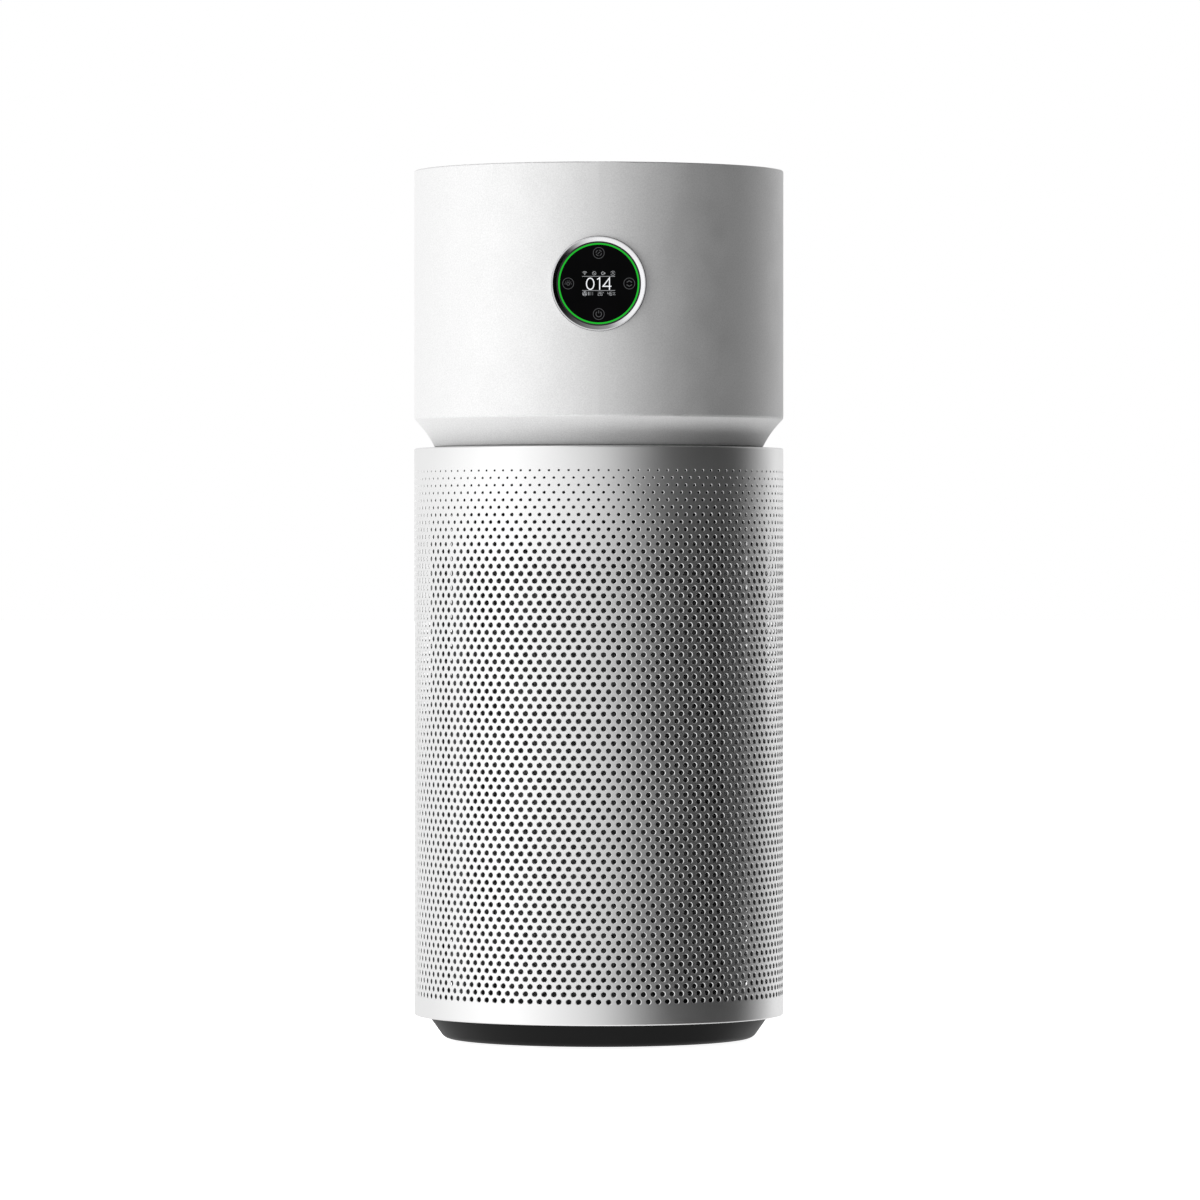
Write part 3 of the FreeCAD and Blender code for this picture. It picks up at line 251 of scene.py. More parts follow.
def skin_degrees(start, end):
    """The angles of a skin's points: its two edges, and a lattice laid out from its middle."""
    half = (end - start) / 2
    steps = 2 * math.floor(half / (2 * LATTICE_STEP) + 1e-9)
    middle = (start + end) / 2
    lattice = middle + LATTICE_STEP * np.arange(-steps, steps + 1)
    return np.concatenate([[start], lattice, [end]])


def hole_rings(angle, height, bore):
    """Points round a hole: the chamfer's outer edge, its inner edge, and the bore at the back."""
    chamfer = CHAMFER * (LEAST_CHAMFER + (1 - LEAST_CHAMFER) * bore / FULL_BORE)
    ring = 2 * math.pi * np.arange(HOLE_SIDES) / HOLE_SIDES
    points = []
    for radius, size in (
        (RADIUS, bore / 2 + chamfer),
        (RADIUS - chamfer, bore / 2),
        (RADIUS - SHEET, bore / 2),
    ):
        turn = angle + np.degrees(size * np.cos(ring) / radius)
        points.append(cylinder_points(radius, turn, height + size * np.sin(ring)))
    return points


def perforated_band(low_row, high_row, degrees):
    """A closed stretch of thin perforated wall, from one row up to another, across a skin's angles.

    Its vertices are a grid on the outside, the same grid on the inside, and then each hole's rings.
    """
    edge, pattern = cell_pattern()
    rows, across = high_row - low_row, len(degrees)
    columns = across - 3
    heights = HOLE_FIELD[0] + ROW_PITCH * np.arange(low_row, high_row + 1)
    walls = (RADIUS, RADIUS - SHEET)
    vertices = [cylinder_points(radius, degrees[None, :], heights[:, None]) for radius in walls]
    layer = across * (rows + 1)
    total = 2 * layer
    faces = []

    def add(side, face):
        faces.append(face if side == 0 else face[::-1])

    for row in range(rows):
        whole_row = low_row + row
        shift = CELL_STEPS // 2 if whole_row % 2 == 0 else 0
        lead = (columns // 2 - shift) % CELL_STEPS
        cells = (columns - lead) // CELL_STEPS
        for column in [*range(1 + lead), *range(1 + lead + CELL_STEPS * cells, across - 1)]:
            for side in (0, 1):
                a = side * layer + row * across + column
                add(side, (a, a + 1, a + across + 1, a + across))
        height, bore = FIRST_ROW + whole_row * ROW_PITCH, bore_of_row(whole_row)
        for cell in range(cells):
            corner = 1 + lead + CELL_STEPS * cell
            rings = hole_rings(degrees[corner + CELL_STEPS // 2], height, bore)
            starts = [total + HOLE_SIDES * at for at in range(len(rings))]
            total += HOLE_SIDES * len(rings)
            vertices += rings
            for side, ring in ((0, starts[0]), (1, starts[-1])):
                base = side * layer + row * across + corner
                for triangle in pattern:
                    face = [
                        ring + at if kind == "i" else base + edge[at][0] + edge[at][1] * across
                        for kind, at in triangle
                    ]
                    add(side, face)
            for outer, inner in zip(starts, starts[1:]):
                for at in range(HOLE_SIDES):
                    after = (at + 1) % HOLE_SIDES
                    faces.append((outer + at, outer + after, inner + after, inner + at))
    for row in range(rows):
        near, far = row * across, row * across + across - 1
        faces.append((near, near + across, layer + near + across, layer + near))
        faces.append((far, layer + far, layer + far + across, far + across))
    top = rows * across
    for column in range(across - 1):
        faces.append((column, layer + column, layer + column + 1, column + 1))
        faces.append((top + column, top + column + 1, layer + top + column + 1, layer + top + column))
    return np.concatenate(vertices), faces


def make_skin(prefix, node, body, start, end, bands, material):
    """One perforated skin: its two plain rims and its bands of holes."""
    inside = RADIUS - WALL
    low, high = HOLE_FIELD
    bottom = rounded(
        [
            (FLANGE_RADIUS, SHELL_BOTTOM),
            (RADIUS, SHELL_BOTTOM),
            (RADIUS, low),
            (inside, low),
            (inside, SHELL_BOTTOM + WALL),
            (FLANGE_RADIUS, SHELL_BOTTOM + WALL),
        ],
        [0, EDGE_ROUND, 0, 0, 0, 0],
    )
    top = rounded(
        [
            (inside, high),
            (RADIUS, high),
            (RADIUS, SHELL_TOP),
            (DECK_RADIUS, SHELL_TOP),
            (DECK_RADIUS, SHELL_TOP - WALL),
            (inside, SHELL_TOP - WALL),
        ],
        [0, 0, DECK_ROUND, RIM_ROUND, 0, 0],
    )
    degrees = skin_degrees(start, end)
    pieces = [
        new_piece(prefix + "_bottom_rim", *sweep_profile(bottom, degrees), material, body),
        new_piece(prefix + "_top_rim", *sweep_profile(top, degrees), material, body),
    ]
    edges = [round(HOLE_ROWS * step / bands) for step in range(bands + 1)]
    for at, (low_row, high_row) in enumerate(zip(edges, edges[1:])):
        shape = perforated_band(low_row, high_row, degrees)
        pieces.append(new_piece(f"{prefix}_holes_{at + 1}", *shape, material, body))
    for piece in pieces:
        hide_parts(node)
    return pieces


def make_skins(material):
    """The fixed skin round the front and the door's skin at the rear, with a slot for the latch."""
    start, end = DOOR_MIDDLE - DOOR_HALF, DOOR_MIDDLE + DOOR_HALF
    make_skin("shell", "front_shell", "housing", end + SEAM_HALF, start + 360 - SEAM_HALF, 4, material)
    door = make_skin("door", "door_panel", "door", start + SEAM_HALF, end - SEAM_HALF, 2, material)
    latch_low, latch_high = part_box("latch_button")
    over = 5 * MM
    cut_box(
        door[1],
        (latch_low[0] - LATCH_GAP, LATCH_SLOT_NEAR, SHELL_TOP - over),
        (latch_high[0] + LATCH_GAP, LATCH_SLOT_FAR, SHELL_TOP + over),
    )


# ---------------------------------------------------------------- materials


class Nodes:
    """A material's node tree, with short calls for the nodes that the materials share."""

    def __init__(self, name):
        self.material = bpy.data.materials.new(name)
        self.material.use_nodes = True
        self.tree = self.material.node_tree
        self.shader = self.tree.nodes["Principled BSDF"]
        self.place = self.add("ShaderNodeTexCoord").outputs["Object"]

    def add(self, kind, **values):
        """A new node with its properties set."""
        node = self.tree.nodes.new(kind)
        for key, value in values.items():
            setattr(node, key, value)
        return node

    def link(self, source, target):
        """Joins an output to an input."""
        self.tree.links.new(source, target)

    def set(self, **values):
        """Sets the shader's own sockets, with spaces written as underscores."""
        for key, value in values.items():
            self.shader.inputs[key.replace("_", " ")].default_value = value

    def noise(self, scale, detail=2.0, roughness=0.5, squeeze=None):
        """Noise in the object's own space, squeezed by a factor per axis if asked."""
        place = self.place
        if squeeze:
            mapping = self.add("ShaderNodeMapping")
            mapping.inputs["Scale"].default_value = squeeze
            self.link(place, mapping.inputs["Vector"])
            place = mapping.outputs["Vector"]
        node = self.add("ShaderNodeTexNoise")
        node.inputs["Scale"].default_value = scale
        node.inputs["Detail"].default_value = detail
        node.inputs["Roughness"].default_value = roughness
        self.link(place, node.inputs["Vector"])
        return node.outputs["Fac"]

    def colour(self, source, dark, light, socket="Base Color"):
        """Gives the shader a blend of two colours, by noise."""
        node = self.add("ShaderNodeValToRGB")
        for stop, position, shade in zip(node.color_ramp.elements, (0.3, 0.7), (dark, light)):
            stop.position = position
            stop.color = (*shade, 1)
        self.link(source, node.inputs["Fac"])
        self.link(node.outputs["Color"], self.shader.inputs[socket])

    def roughness(self, source, low, high):
        """Gives the shader a roughness between two numbers, by noise."""
        node = self.add("ShaderNodeMapRange")
        node.inputs["From Min"].default_value = 0.3
        node.inputs["From Max"].default_value = 0.7
        node.inputs["To Min"].default_value = low
        node.inputs["To Max"].default_value = high
        self.link(source, node.inputs["Value"])
        self.link(node.outputs["Result"], self.shader.inputs["Roughness"])

    def bump(self, source, strength, depth):
        """Gives the shader a bump."""
        node = self.add("ShaderNodeBump")
        node.inputs["Strength"].default_value = strength
        node.inputs["Distance"].default_value = depth
        self.link(source, node.inputs["Height"])
        self.link(node.outputs["Normal"], self.shader.inputs["Normal"])


def scaled(colour, factor):
    """A colour made darker or lighter, up to white."""
    return tuple(min(1.0, part * factor) for part in colour)


def grey(level):
    """A neutral colour."""
    return (level, level, level)


def moulded(name, colour, roughness, grain=1400, depth=0.00004, strength=0.25, **finish):
    """Moulded plastic or paint: slight colour drift, uneven gloss and a fine grain.

    The finish may name metal, gloss, tint, how far the colour drifts, and patch, the drift's noise scale.
    """
    tint = finish.get("tint", 0.02)
    nodes = Nodes(name)
    drift = nodes.noise(finish.get("patch", 9), detail=3)
    nodes.colour(drift, scaled(colour, 1 - tint), scaled(colour, 1 + tint))
    nodes.roughness(nodes.noise(38, detail=4, roughness=0.6), roughness * 0.94, roughness * 1.06)
    nodes.bump(nodes.noise(grain), strength, depth)
    nodes.set(Metallic=finish.get("metal", 0.0), Specular_IOR_Level=finish.get("gloss", 0.5))
    return nodes.material


def metal(name, colour, roughness, squeeze=(1, 1, 40), scale=60, depth=0.00002):
    """Turned, drawn, cast or plated metal; a squeeze along one axis makes its grain fine lines."""
    nodes = Nodes(name)
    lines = nodes.noise(scale, detail=3, roughness=0.6, squeeze=squeeze)
    nodes.colour(lines, scaled(colour, 0.9), colour)
    nodes.roughness(lines, roughness * 0.8, roughness * 1.25)
    nodes.bump(lines, 0.3, depth)
    nodes.set(Metallic=1.0)
    return nodes.material


def woven(name, colour, scale, roughness=0.85, depth=0.0002):
    """Cloth or felt with a small weave."""
    nodes = Nodes(name)
    fibre = nodes.noise(scale, detail=5, roughness=0.7)
    nodes.colour(fibre, scaled(colour, 0.55), scaled(colour, 1.5))
    nodes.roughness(fibre, roughness, min(1, roughness * 1.1))
    nodes.bump(fibre, 0.8, depth)
    nodes.set(Sheen_Weight=0.15)
    return nodes.material


def glowing(name, colour, strength):
    """A lit symbol or light guide with a faint unevenness."""
    nodes = Nodes(name)
    nodes.colour(nodes.noise(220), scaled(colour, 0.94), colour, "Emission Color")
    nodes.set(Base_Color=(*scaled(colour, 0.01), 1), Roughness=0.4, Specular_IOR_Level=0.05)
    nodes.set(Emission_Strength=strength)
    return nodes.material


def folded_paper():
    """Filter paper, off-white and fibrous."""
    nodes = Nodes("filter_paper")
    fibre = nodes.noise(700, detail=6, roughness=0.75)
    nodes.colour(fibre, (0.7, 0.71, 0.69), (0.86, 0.87, 0.85))
    nodes.roughness(fibre, 0.85, 0.98)
    nodes.bump(fibre, 0.6, 0.0002)
    return nodes.material


def wound_copper():
    """Enamelled copper wire, wound in layers."""
    nodes = Nodes("wound_copper")
    wave = nodes.add("ShaderNodeTexWave", bands_direction="Z")
    wave.inputs["Scale"].default_value = 500
    wave.inputs["Distortion"].default_value = 0.6
    nodes.link(nodes.place, wave.inputs["Vector"])
    nodes.colour(wave.outputs["Fac"], (0.25, 0.07, 0.02), (0.8, 0.34, 0.14))
    nodes.roughness(nodes.noise(90), 0.25, 0.4)
    nodes.bump(wave.outputs["Fac"], 0.8, 0.0003)
    nodes.set(Metallic=0.9)
    return nodes.material


def circuit_board():
    """Green solder mask over copper tracks."""
    nodes = Nodes("circuit_board")
    cells = nodes.add("ShaderNodeTexVoronoi", feature="DISTANCE_TO_EDGE", distance="MANHATTAN")
    cells.inputs["Scale"].default_value = 160
    nodes.link(nodes.place, cells.inputs["Vector"])
    nodes.colour(cells.outputs["Distance"], (0.05, 0.24, 0.1), (0.01, 0.12, 0.05))
    nodes.roughness(nodes.noise(60), 0.3, 0.42)
    nodes.bump(cells.outputs["Distance"], 0.2, 0.0001)
    return nodes.material


def display_glass():
    """Black glass with a faint smear."""
    nodes = Nodes("black_glass")
    smear = nodes.noise(40, detail=4, roughness=0.6)
    nodes.colour(smear, (0.0005, 0.0005, 0.0006), (0.0015, 0.0015, 0.0018))
    nodes.roughness(smear, 0.05, 0.09)
    nodes.set(Specular_IOR_Level=0.03)
    return nodes.material


def studio_floor():
    """A plain pale floor."""
    nodes = Nodes("floor_paper")
    nodes.colour(nodes.noise(2), grey(0.88), grey(0.9))
    nodes.roughness(nodes.noise(5), 0.9, 0.98)
    nodes.set(Specular_IOR_Level=0.0, Emission_Color=(1, 1, 1, 1), Emission_Strength=0.95)
    return nodes.material


def make_materials():
    """The materials by the record's slots; neck_frame is a node given a darker grey than its slot, as painted
    shade for the narrow gap under the head.
    """
    uniform = (1, 1, 1)
    return {
        "shell_white": moulded("shell_white", grey(0.74), 0.33, 900, 0.00003, 0.2, metal=0.85),
        "head_white": moulded(
            "head_white", grey(0.8), 0.64, 600, 0.00006, 0.6, metal=0.75, tint=0.06, patch=1000
        ),
        # neck_frame: a grey darker than its slot, painted shade where the neck shows in the gap under the
        # head.
        "neck_frame": moulded("neck_painted_shade_grey", grey(0.3), 0.5),
        "base_black": moulded("base_black", grey(0.006), 0.42, 700, 0.00006, 0.4, gloss=0.07),
        "grille_grey": moulded("grille_grey", (0.16, 0.165, 0.17), 0.42),
        "inner_grey": moulded("inner_grey", (0.2, 0.205, 0.21), 0.5),
        "inlet_black": moulded("inlet_black", (0.015, 0.015, 0.016), 0.4),
        "lead_black": moulded("lead_black", grey(0.015), 0.55, 700),
        "feet": moulded("foot_rubber", grey(0.025), 0.8, 500, 0.0002, 0.5),
        "gasket": moulded("gasket_foam", (0.04, 0.04, 0.042), 0.9, 400, 0.0004, 0.8),
        "impeller": moulded("impeller_black", (0.04, 0.04, 0.042), 0.38),
        "filter_frame": moulded("filter_frame", (0.05, 0.052, 0.055), 0.6, 600, 0.0001, 0.5),
        "filter_paper": folded_paper(),
        "carbon": woven("carbon_cloth", grey(0.02), 900),
        "strap": woven("strap_webbing", (0.03, 0.03, 0.033), 700),
        "steel": metal("turned_steel", (0.6, 0.6, 0.61), 0.3),
        "bracket": metal("cast_bracket", (0.68, 0.68, 0.69), 0.42, uniform, 300, 0.0001),
        "magnet": metal("plated_magnet", (0.3, 0.3, 0.31), 0.35, uniform, 200),
        "copper": wound_copper(),
        "pin_metal": metal("pin_brass", (0.75, 0.66, 0.4), 0.22),
        "board_green": circuit_board(),
        "parts_black": moulded("component_black", (0.02, 0.02, 0.022), 0.45, 800),
        "bezel": metal("bezel_chrome", (0.66, 0.66, 0.67), 0.16, (1, 40, 1), 30, 0.000004),
        "mask": moulded("gap_black", grey(0.004), 0.5),
        "display_glass": display_glass(),
        "light": glowing("ring_green", (0.015, 0.5, 0.03), 1.0),
    }


def dress_nodes(frame, materials):
    """Gives each CAD node that stays its own material, or that of its slot."""
    for entry in frame["record"]["subparts"]:
        node = frame["nodes"].get(entry["node"])
        material = materials.get(entry["node"]) or materials.get(entry["material_slot"])
        if node is None or material is None:
            continue
        if not node.data.materials:
            node.data.materials.append(None)
        for at in range(len(node.material_slots)):
            node.material_slots[at].material = material


# ---------------------------------------------------------------- display


def ribbon(points, width, closed=False):
    """A line of constant width, as flat quads in the display's plane."""
    count = len(points)
    sides = []
    for at in range(count):
        here = Vector(points[at])
        if closed or 0 < at < count - 1:
            before = (here - Vector(points[at - 1])).normalized()
            after = (Vector(points[(at + 1) % count]) - here).normalized()
        elif at == 0:
            before = after = (Vector(points[1]) - here).normalized()
        else:
            before = after = (here - Vector(points[at - 1])).normalized()
        middle = (before + after).normalized()
        across = Vector((-middle.y, middle.x)) * (width / 2 / max(LEAST_COSINE, middle.dot(before)))
        sides.append((here + across, here - across))
    strips = []
    for at in range(count if closed else count - 1):
        a, b = sides[at], sides[(at + 1) % count]
        strips.append([a[1], b[1], b[0], a[0]])
    return strips


def circle(x, y, radius, start=0, end=360, steps=40):
    """Points on an arc; a full circle leaves out its last point."""
    whole = abs(end - start) >= 360
    count = steps if whole else steps + 1
    turns = [math.radians(start + (end - start) * step / steps) for step in range(count)]
    return [(x + radius * math.cos(turn), y + radius * math.sin(turn)) for turn in turns]


def disc(x, y, radius):
    """A filled disc as one polygon."""
    return [circle(x, y, radius, steps=24)]


def arc(x, y, radius, width, start=0, end=360):
    """An arc or a full circle, drawn with a stroke."""
    whole = abs(end - start) >= 360
    return ribbon(circle(x, y, radius, start, end), width, closed=whole)


def oval(x, y, wide, high, width):
    """An ellipse, drawn with a stroke."""
    points = [(x + wide / 2 * a, y + high / 2 * b) for a, b in circle(0, 0, 1)]
    return ribbon(points, width, closed=True)


def small_digit(digit, x):
    """A digit of the readings, drawn with straight strokes."""
    y, wide, high = READING_ROW, 1.3, 2.6
    left, right, low, top = x - wide / 2, x + wide / 2, y - high / 2, y + high / 2
    shapes = {
        "2": [[(left, top), (right, top), (right, y), (left, y), (left, low), (right, low)]],
        "4": [[(left, top), (left, y), (right, y)], [(right, top), (right, low)]],
        "6": [[(right, top), (left, top), (left, low), (right, low), (right, y), (left, y)]],
    }
    return [strip for line in shapes[digit] for strip in ribbon(line, 0.36)]


def level_bar(x):
    """One bar of the fan's level."""
    return ribbon([(x, end) for end in BAR_ENDS], 0.9)


def flat_piece(name, polygons, material):
    """Thin flat shapes lying on the glass."""
    vertices, faces = [], []
    back = -(GLASS_FACE + SYMBOL_LIFT)
    front = back - SYMBOL_THICKNESS
    for polygon in polygons:
        start, count = len(vertices), len(polygon)
        for depth in (front, back):
            vertices += [(point[0] * MM, depth, DISPLAY_Z + point[1] * MM) for point in polygon]
        faces.append(tuple(start + k for k in range(count)))
        faces.append(tuple(start + count + k for k in reversed(range(count))))
        for k in range(count):
            after = (k + 1) % count
            faces.append((start + k, start + count + k, start + count + after, start + after))
    new_piece(name, vertices, faces, material, slot="light", sharp=20)


def large_digits():
    """The bright part of the display: three large digits."""
    shapes = oval(-6.75, -0.2, 5.9, 8.9, DIGIT_STROKE)
    shapes += ribbon([(-1.3, 3.2), (0.75, 4.5), (0.75, -5.0)], DIGIT_STROKE)
    shapes += ribbon([(8.5, -5.0), (8.5, 4.4), (3.4, -2.2), (10.0, -2.2)], DIGIT_STROKE)
    return shapes


def icons():
    """The row above the digits: waves, a crossed circle, an open ring with a dot, a peak in a broken ring."""
    x = -11.1
    shapes = disc(x, 7.1, 0.4)
    for radius in (0.9, 1.7, 2.5):
        shapes += arc(x, 7.0, radius, 0.42, 45, 135)
    shapes += arc(-3.6, ICON_ROW, 1.4, 0.4) + ribbon([(-4.6, 9.1), (-2.6, 7.1)], 0.4)
    shapes += arc(3.3, ICON_ROW, 1.1, 0.6, 60, 300) + disc(4.5, ICON_ROW, 0.75)
    for start in (20, 200):
        shapes += arc(11.2, ICON_ROW, 1.7, THIN_STROKE, start, start + 140)
    shapes += ribbon([(10.4, 7.3), (11.2, 9.0), (12.0, 7.3)], THIN_STROKE)
    return shapes


def readings():
    """The row below the digits: a fan, the first level bar, and two small readings."""
    x, y = -11.1, -8.0
    shapes = arc(x, y, 1.75, THIN_STROKE)
    for turn in (90, 210, 330):
        angle = math.radians(turn)
        shapes += disc(x + 0.95 * math.cos(angle), y + 0.95 * math.sin(angle), 0.72)
    shapes += level_bar(-7.9)
    for digit, place in (("2", 0.1), ("6", 2.1), ("4", 7.7), ("6", 9.7)):
        shapes += small_digit(digit, place)
    shapes += arc(3.5, -7.1, 0.35, 0.25)
    shapes += ribbon([(11.3, -9.2), (12.9, -6.9)], THIN_STROKE)
    shapes += disc(11.4, -7.2, 0.35) + disc(12.8, -8.9, 0.35)
    return shapes


def key_symbols():
    """The four touch keys, each a circle round its symbol."""
    reach = KEY_REACH
    shapes = []
    for x, y in ((0, reach), (reach, 0), (0, -reach), (-reach, 0)):
        shapes += arc(x, y, KEY_RADIUS, 0.42)
    for turn in (0, 90, 180, 270):
        shapes += arc(0, reach, 2.2, 0.5, turn + 20, turn + 85)
    shapes += ribbon([(-0.9, reach - 0.9), (0.9, reach + 0.9)], 0.5)
    for side in (1, -1):
        shapes += ribbon([(reach - 2.1, 0.9 * side), (reach, 2.2 * side), (reach + 2.1, 0.9 * side)], 0.6)
    shapes += arc(0, -reach, 2.2, 0.55, 125, 415)
    shapes += ribbon([(0, 0.6 - reach), (0, 2.9 - reach)], 0.55)
    shapes += arc(-reach, -0.3, 1.1, 0.5)
    for turn in range(0, 181, 36):
        angle = math.radians(turn)
        ends = [(-reach + r * math.cos(angle), -0.3 + r * math.sin(angle)) for r in (1.9, 2.9)]
        shapes += ribbon(ends, LINE_STROKE)
    return shapes


def make_display():
    """The display's symbols in three brightnesses."""
    white = (0.95, 0.97, 1.0)
    lines = [strip for y in (5.65, -5.55) for strip in ribbon([(-13.1, y), (12.9, y)], LINE_STROKE)]
    unlit_bars = level_bar(-6.4) + level_bar(-4.9)
    for name, shapes, material, strength in (
        ("display_digits", large_digits(), "display_white", 1.0),
        ("display_symbols", lines + icons() + readings(), "display_dim", 0.32),
        ("display_keys", key_symbols() + unlit_bars, "display_faint", 0.08),
    ):
        flat_piece(name, shapes, glowing(material, white, strength))


# ---------------------------------------------------------------- filter and latch details


def net_strand(start, way, low, height):
    """Rings of points along one strand of the net, a helix of diamond section that leans one way."""
    lean = math.radians(NET_LEAN)
    centre = NET_RADIUS + way * STRAND_SHIFT
    rings = []
    for step in range(NET_STEPS + 1):
        along = step / NET_STEPS
        turn = start + way * lean * along
        swing = way * lean * NET_RADIUS
        tangent = Vector((-math.sin(turn) * swing, math.cos(turn) * swing, height)).normalized()
        out = Vector((math.cos(turn), math.sin(turn), 0))
        side = out.cross(tangent).normalized()
        middle = out * centre + Vector((0, 0, low + height * along))
        section = ((1, 0), (0, 1), (-1, 0), (0, -1))
        rings.append(
            [middle + out * STRAND_HALF * a + side * STRAND_HALF * STRAND_WIDENING * b for a, b in section]
        )
    return rings


def make_netting(material, cloth):
    """Diamond netting round the filter, over a dark prefilter cloth."""
    low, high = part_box("filter_netting")[0][2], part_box("filter_netting")[1][2]
    height = high - low
    vertices, faces = [], []
    for way in (1, -1):
        for strand in range(NET_STRANDS):
            start = 2 * math.pi * strand / NET_STRANDS
            add_tube(vertices, faces, net_strand(start, way, low, height))
    net = new_piece("filter_net", vertices, faces, material, "filter", "filter_net", sharp=80)
    inner, outer = CLOTH_RADIUS - CLOTH_HALF, CLOTH_RADIUS + CLOTH_HALF
    profile = [(inner, low), (outer, low), (outer, high), (inner, high)]
    shape = sweep_profile(profile, range(0, 361, 5))
    sleeve = new_piece("prefilter_cloth", *shape, cloth, "filter", "carbon")
    for piece in (net, sleeve):
        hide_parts("filter_netting")


def make_spring(material):
    """The latch's coil spring, with flat ends."""
    low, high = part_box("latch_spring")
    centre = (Vector(low) + Vector(high)) / 2
    coil = (high[0] - low[0]) / 2 - WIRE_RADIUS
    bottom, top = low[2] + WIRE_RADIUS, high[2] - WIRE_RADIUS
    up = Vector((0, 0, 1))
    steps = SPRING_TURNS * TURN_STEPS
    rings = []
    for step in range(steps + 1):
        along = step / steps
        rise = min(1.0, max(0.0, (along - FLAT_END) / (1 - 2 * FLAT_END)))
        turn = 2 * math.pi * SPRING_TURNS * along
        out = Vector((math.cos(turn), math.sin(turn), 0))
        middle = Vector((centre.x, centre.y, bottom + (top - bottom) * rise)) + out * coil
        section = circle(0, 0, WIRE_RADIUS, steps=WIRE_SIDES)
        rings.append([middle + out * a - up * b for a, b in section])
    vertices, faces = [], []
    add_tube(vertices, faces, rings)
    spring = new_piece("latch_coil", vertices, faces, material, "door", "steel", sharp=60)
    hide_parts("latch_spring")
    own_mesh(spring)


# ---------------------------------------------------------------- studio

# Brightness of the soft light round the tower: degrees from the front, positive to the right, and level.
LIGHT_FROM_BELOW = (
    (-180, 1.2), (-100, 1.3), (-40, 1.8), (0, 1.8), (40, 1.8), (80, 1.6), (120, 1.3), (180, 1.2),
)
LIGHT_AT_EYE_LEVEL = (
    (-180, 1.05), (-120, 1.25), (-60, 1.8), (-20, 1.26), (0, 1.03), (20, 0.44), (40, 0.0), (100, 0.0),
    (120, 0.66), (140, 1.42), (180, 1.05),
)
LIGHT_FROM_ABOVE = (
    (-180, 0.78), (-120, 0.8), (-80, 1.78), (-60, 2.3), (-40, 1.44), (-20, 0.5), (20, 0.3), (50, 0.0),
    (120, 0.0), (140, 0.34), (180, 0.78),
)
# Where one ring of light goes over into the next: the height of a direction of length 1.
HIGH_UP, LOW_DOWN = (0.26, 0.82), (-0.5, -0.92)
BRIGHTEST = 2.5
LIGHT_LEVEL = 0.87


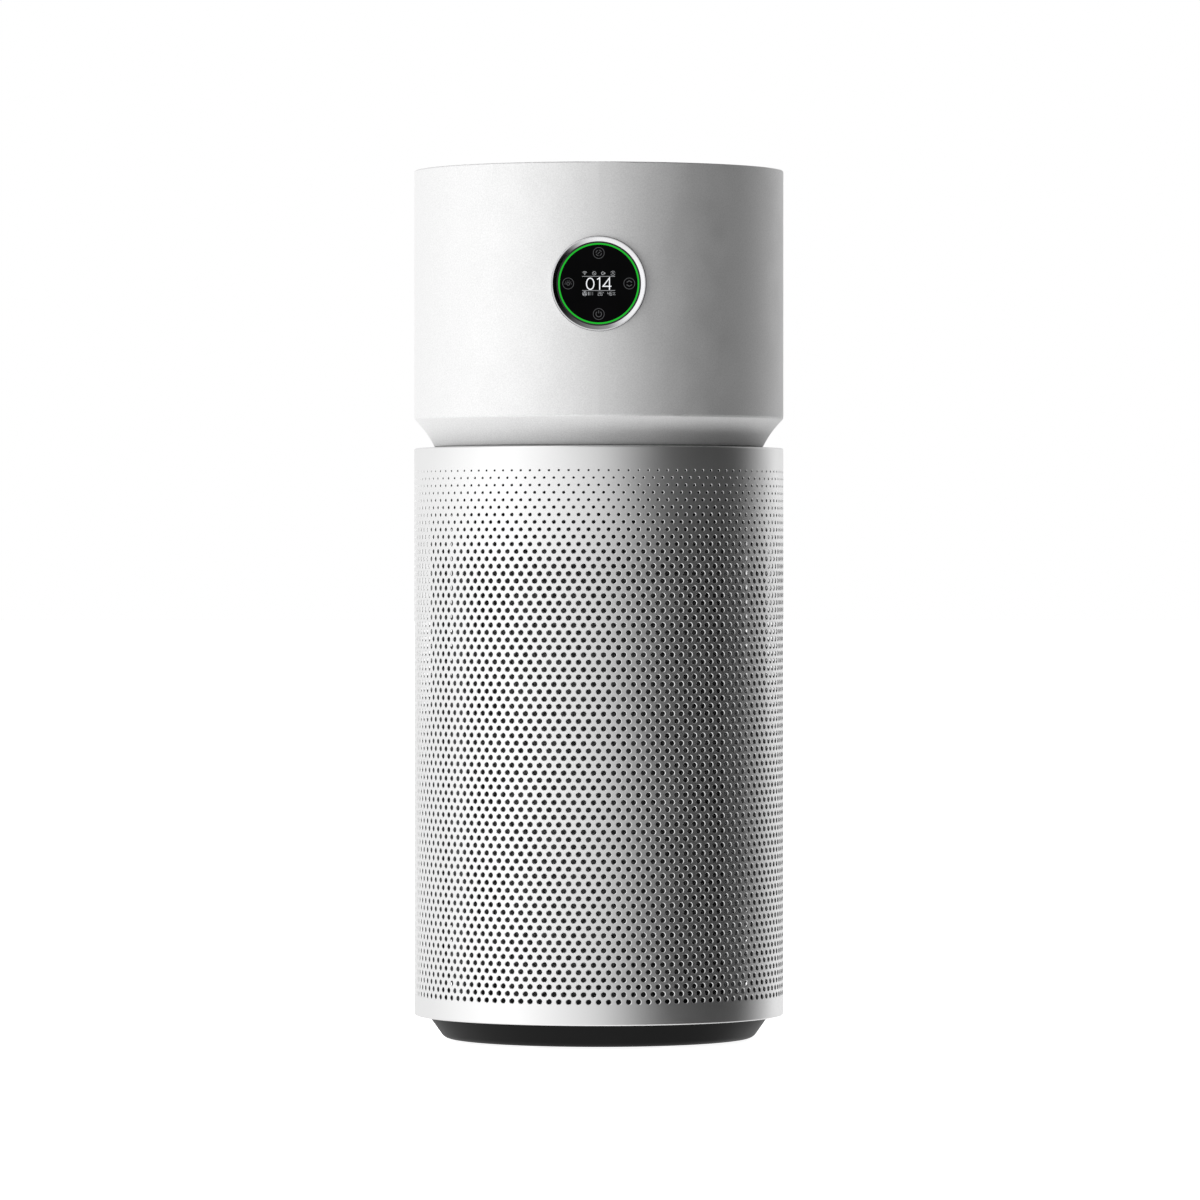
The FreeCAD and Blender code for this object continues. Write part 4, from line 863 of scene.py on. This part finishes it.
def make_world():
    """Pale studio surroundings: a broad soft light at the left and behind, and a dark flag at the right."""
    world = bpy.data.worlds.new("studio")
    bpy.context.scene.world = world
    world.use_nodes = True
    world.cycles.sampling_method = "MANUAL"
    world.cycles.sample_map_resolution = 256
    tree = world.node_tree

    def add(kind, *sources, **settings):
        node = tree.nodes.new(kind)
        for key, value in settings.items():
            setattr(node, key, value)
        for at, source in enumerate(sources):
            if isinstance(source, (int, float)):
                node.inputs[at].default_value = source
            else:
                tree.links.new(source, node.inputs[at])
        return node

    place = add("ShaderNodeTexCoord").outputs["Generated"]
    split = add("ShaderNodeSeparateXYZ", place)
    towards_viewer = add("ShaderNodeMath", split.outputs["Y"], -1.0, operation="MULTIPLY")
    azimuth = add("ShaderNodeMath", split.outputs["X"], towards_viewer.outputs[0], operation="ARCTAN2")
    turn = add("ShaderNodeMath", azimuth.outputs[0], 0.5 / math.pi, 0.5, operation="MULTIPLY_ADD")

    def ramp(stops):
        node = add("ShaderNodeValToRGB", turn.outputs[0])
        band = node.color_ramp
        for at, (degrees, level) in enumerate(stops):
            position = degrees / 360 + 0.5
            stop = band.elements[at] if at < 2 else band.elements.new(position)
            stop.position = position
            stop.color = (*grey(level / BRIGHTEST), 1)
        return node.outputs["Color"]

    def zone(heights):
        node = add("ShaderNodeMapRange", split.outputs["Z"], *heights, interpolation_type="SMOOTHSTEP")
        return node.outputs[0]

    def blend(factor, first, second):
        node = add("ShaderNodeMix", data_type="RGBA")
        tree.links.new(factor, node.inputs["Factor"])
        tree.links.new(first, node.inputs["A"])
        tree.links.new(second, node.inputs["B"])
        return node.outputs["Result"]

    light = blend(zone(HIGH_UP), ramp(LIGHT_AT_EYE_LEVEL), ramp(LIGHT_FROM_ABOVE))
    light = blend(zone(LOW_DOWN), light, ramp(LIGHT_FROM_BELOW))

    surround = tree.nodes["Background"]
    surround.inputs["Strength"].default_value = BRIGHTEST * LIGHT_LEVEL
    tree.links.new(light, surround.inputs["Color"])
    backdrop = add("ShaderNodeBackground")
    backdrop.inputs["Color"].default_value = (1, 1, 1, 1)
    seen = add("ShaderNodeLightPath")
    both = add("ShaderNodeMixShader", seen.outputs["Is Camera Ray"], surround.outputs[0], backdrop.outputs[0])
    tree.links.new(both.outputs[0], tree.nodes["World Output"].inputs["Surface"])


def make_floor():
    """A wide pale floor; the light it would throw back is part of the surroundings."""
    sides = FLOOR_SIDES
    vertices = [(0.0, 0.0, 0.0)] + [
        (x, y, 0.0) for radius in FLOOR_RADII for x, y in circle(0, 0, radius, steps=sides)
    ]
    faces = [(0, 1 + k, 1 + (k + 1) % sides) for k in range(sides)]
    for ring in range(len(FLOOR_RADII) - 1):
        low, high = 1 + sides * ring, 1 + sides * (ring + 1)
        for k in range(sides):
            after = (k + 1) % sides
            faces.append((low + k, high + k, high + after, low + after))
    mesh = bpy.data.meshes.new("floor")
    mesh.from_pydata(vertices, [], faces)
    mesh.materials.append(studio_floor())
    floor = bpy.data.objects.new("floor", mesh)
    bpy.context.scene.collection.objects.link(floor)
    floor.visible_diffuse = floor.visible_glossy = floor.visible_transmission = floor.visible_shadow = False


def make_camera():
    """A long lens at the photograph's height, looking very slightly down."""
    camera = bpy.data.cameras.new("camera")
    camera.lens, camera.sensor_width = FOCAL_LENGTH, SENSOR_WIDTH
    camera.clip_end = 100
    viewer = bpy.data.objects.new("camera", camera)
    bpy.context.scene.collection.objects.link(viewer)
    viewer.location = CAMERA_PLACE
    viewer.rotation_euler = (math.radians(90 - CAMERA_DIP), 0, 0)
    bpy.context.scene.camera = viewer
    bpy.context.scene.view_settings.view_transform = "Standard"


# ---------------------------------------------------------------- build


def main():
    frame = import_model()

    materials = make_materials()
    dress_nodes(frame, materials)
    make_skins(materials["shell_white"])
    make_display()
    net_black = moulded("net_black", (0.03, 0.03, 0.032), 0.35)
    make_netting(net_black, woven("prefilter_cloth", grey(0.13), 1200))
    make_spring(materials["steel"])
    make_world()
    make_floor()
    make_camera()


main()
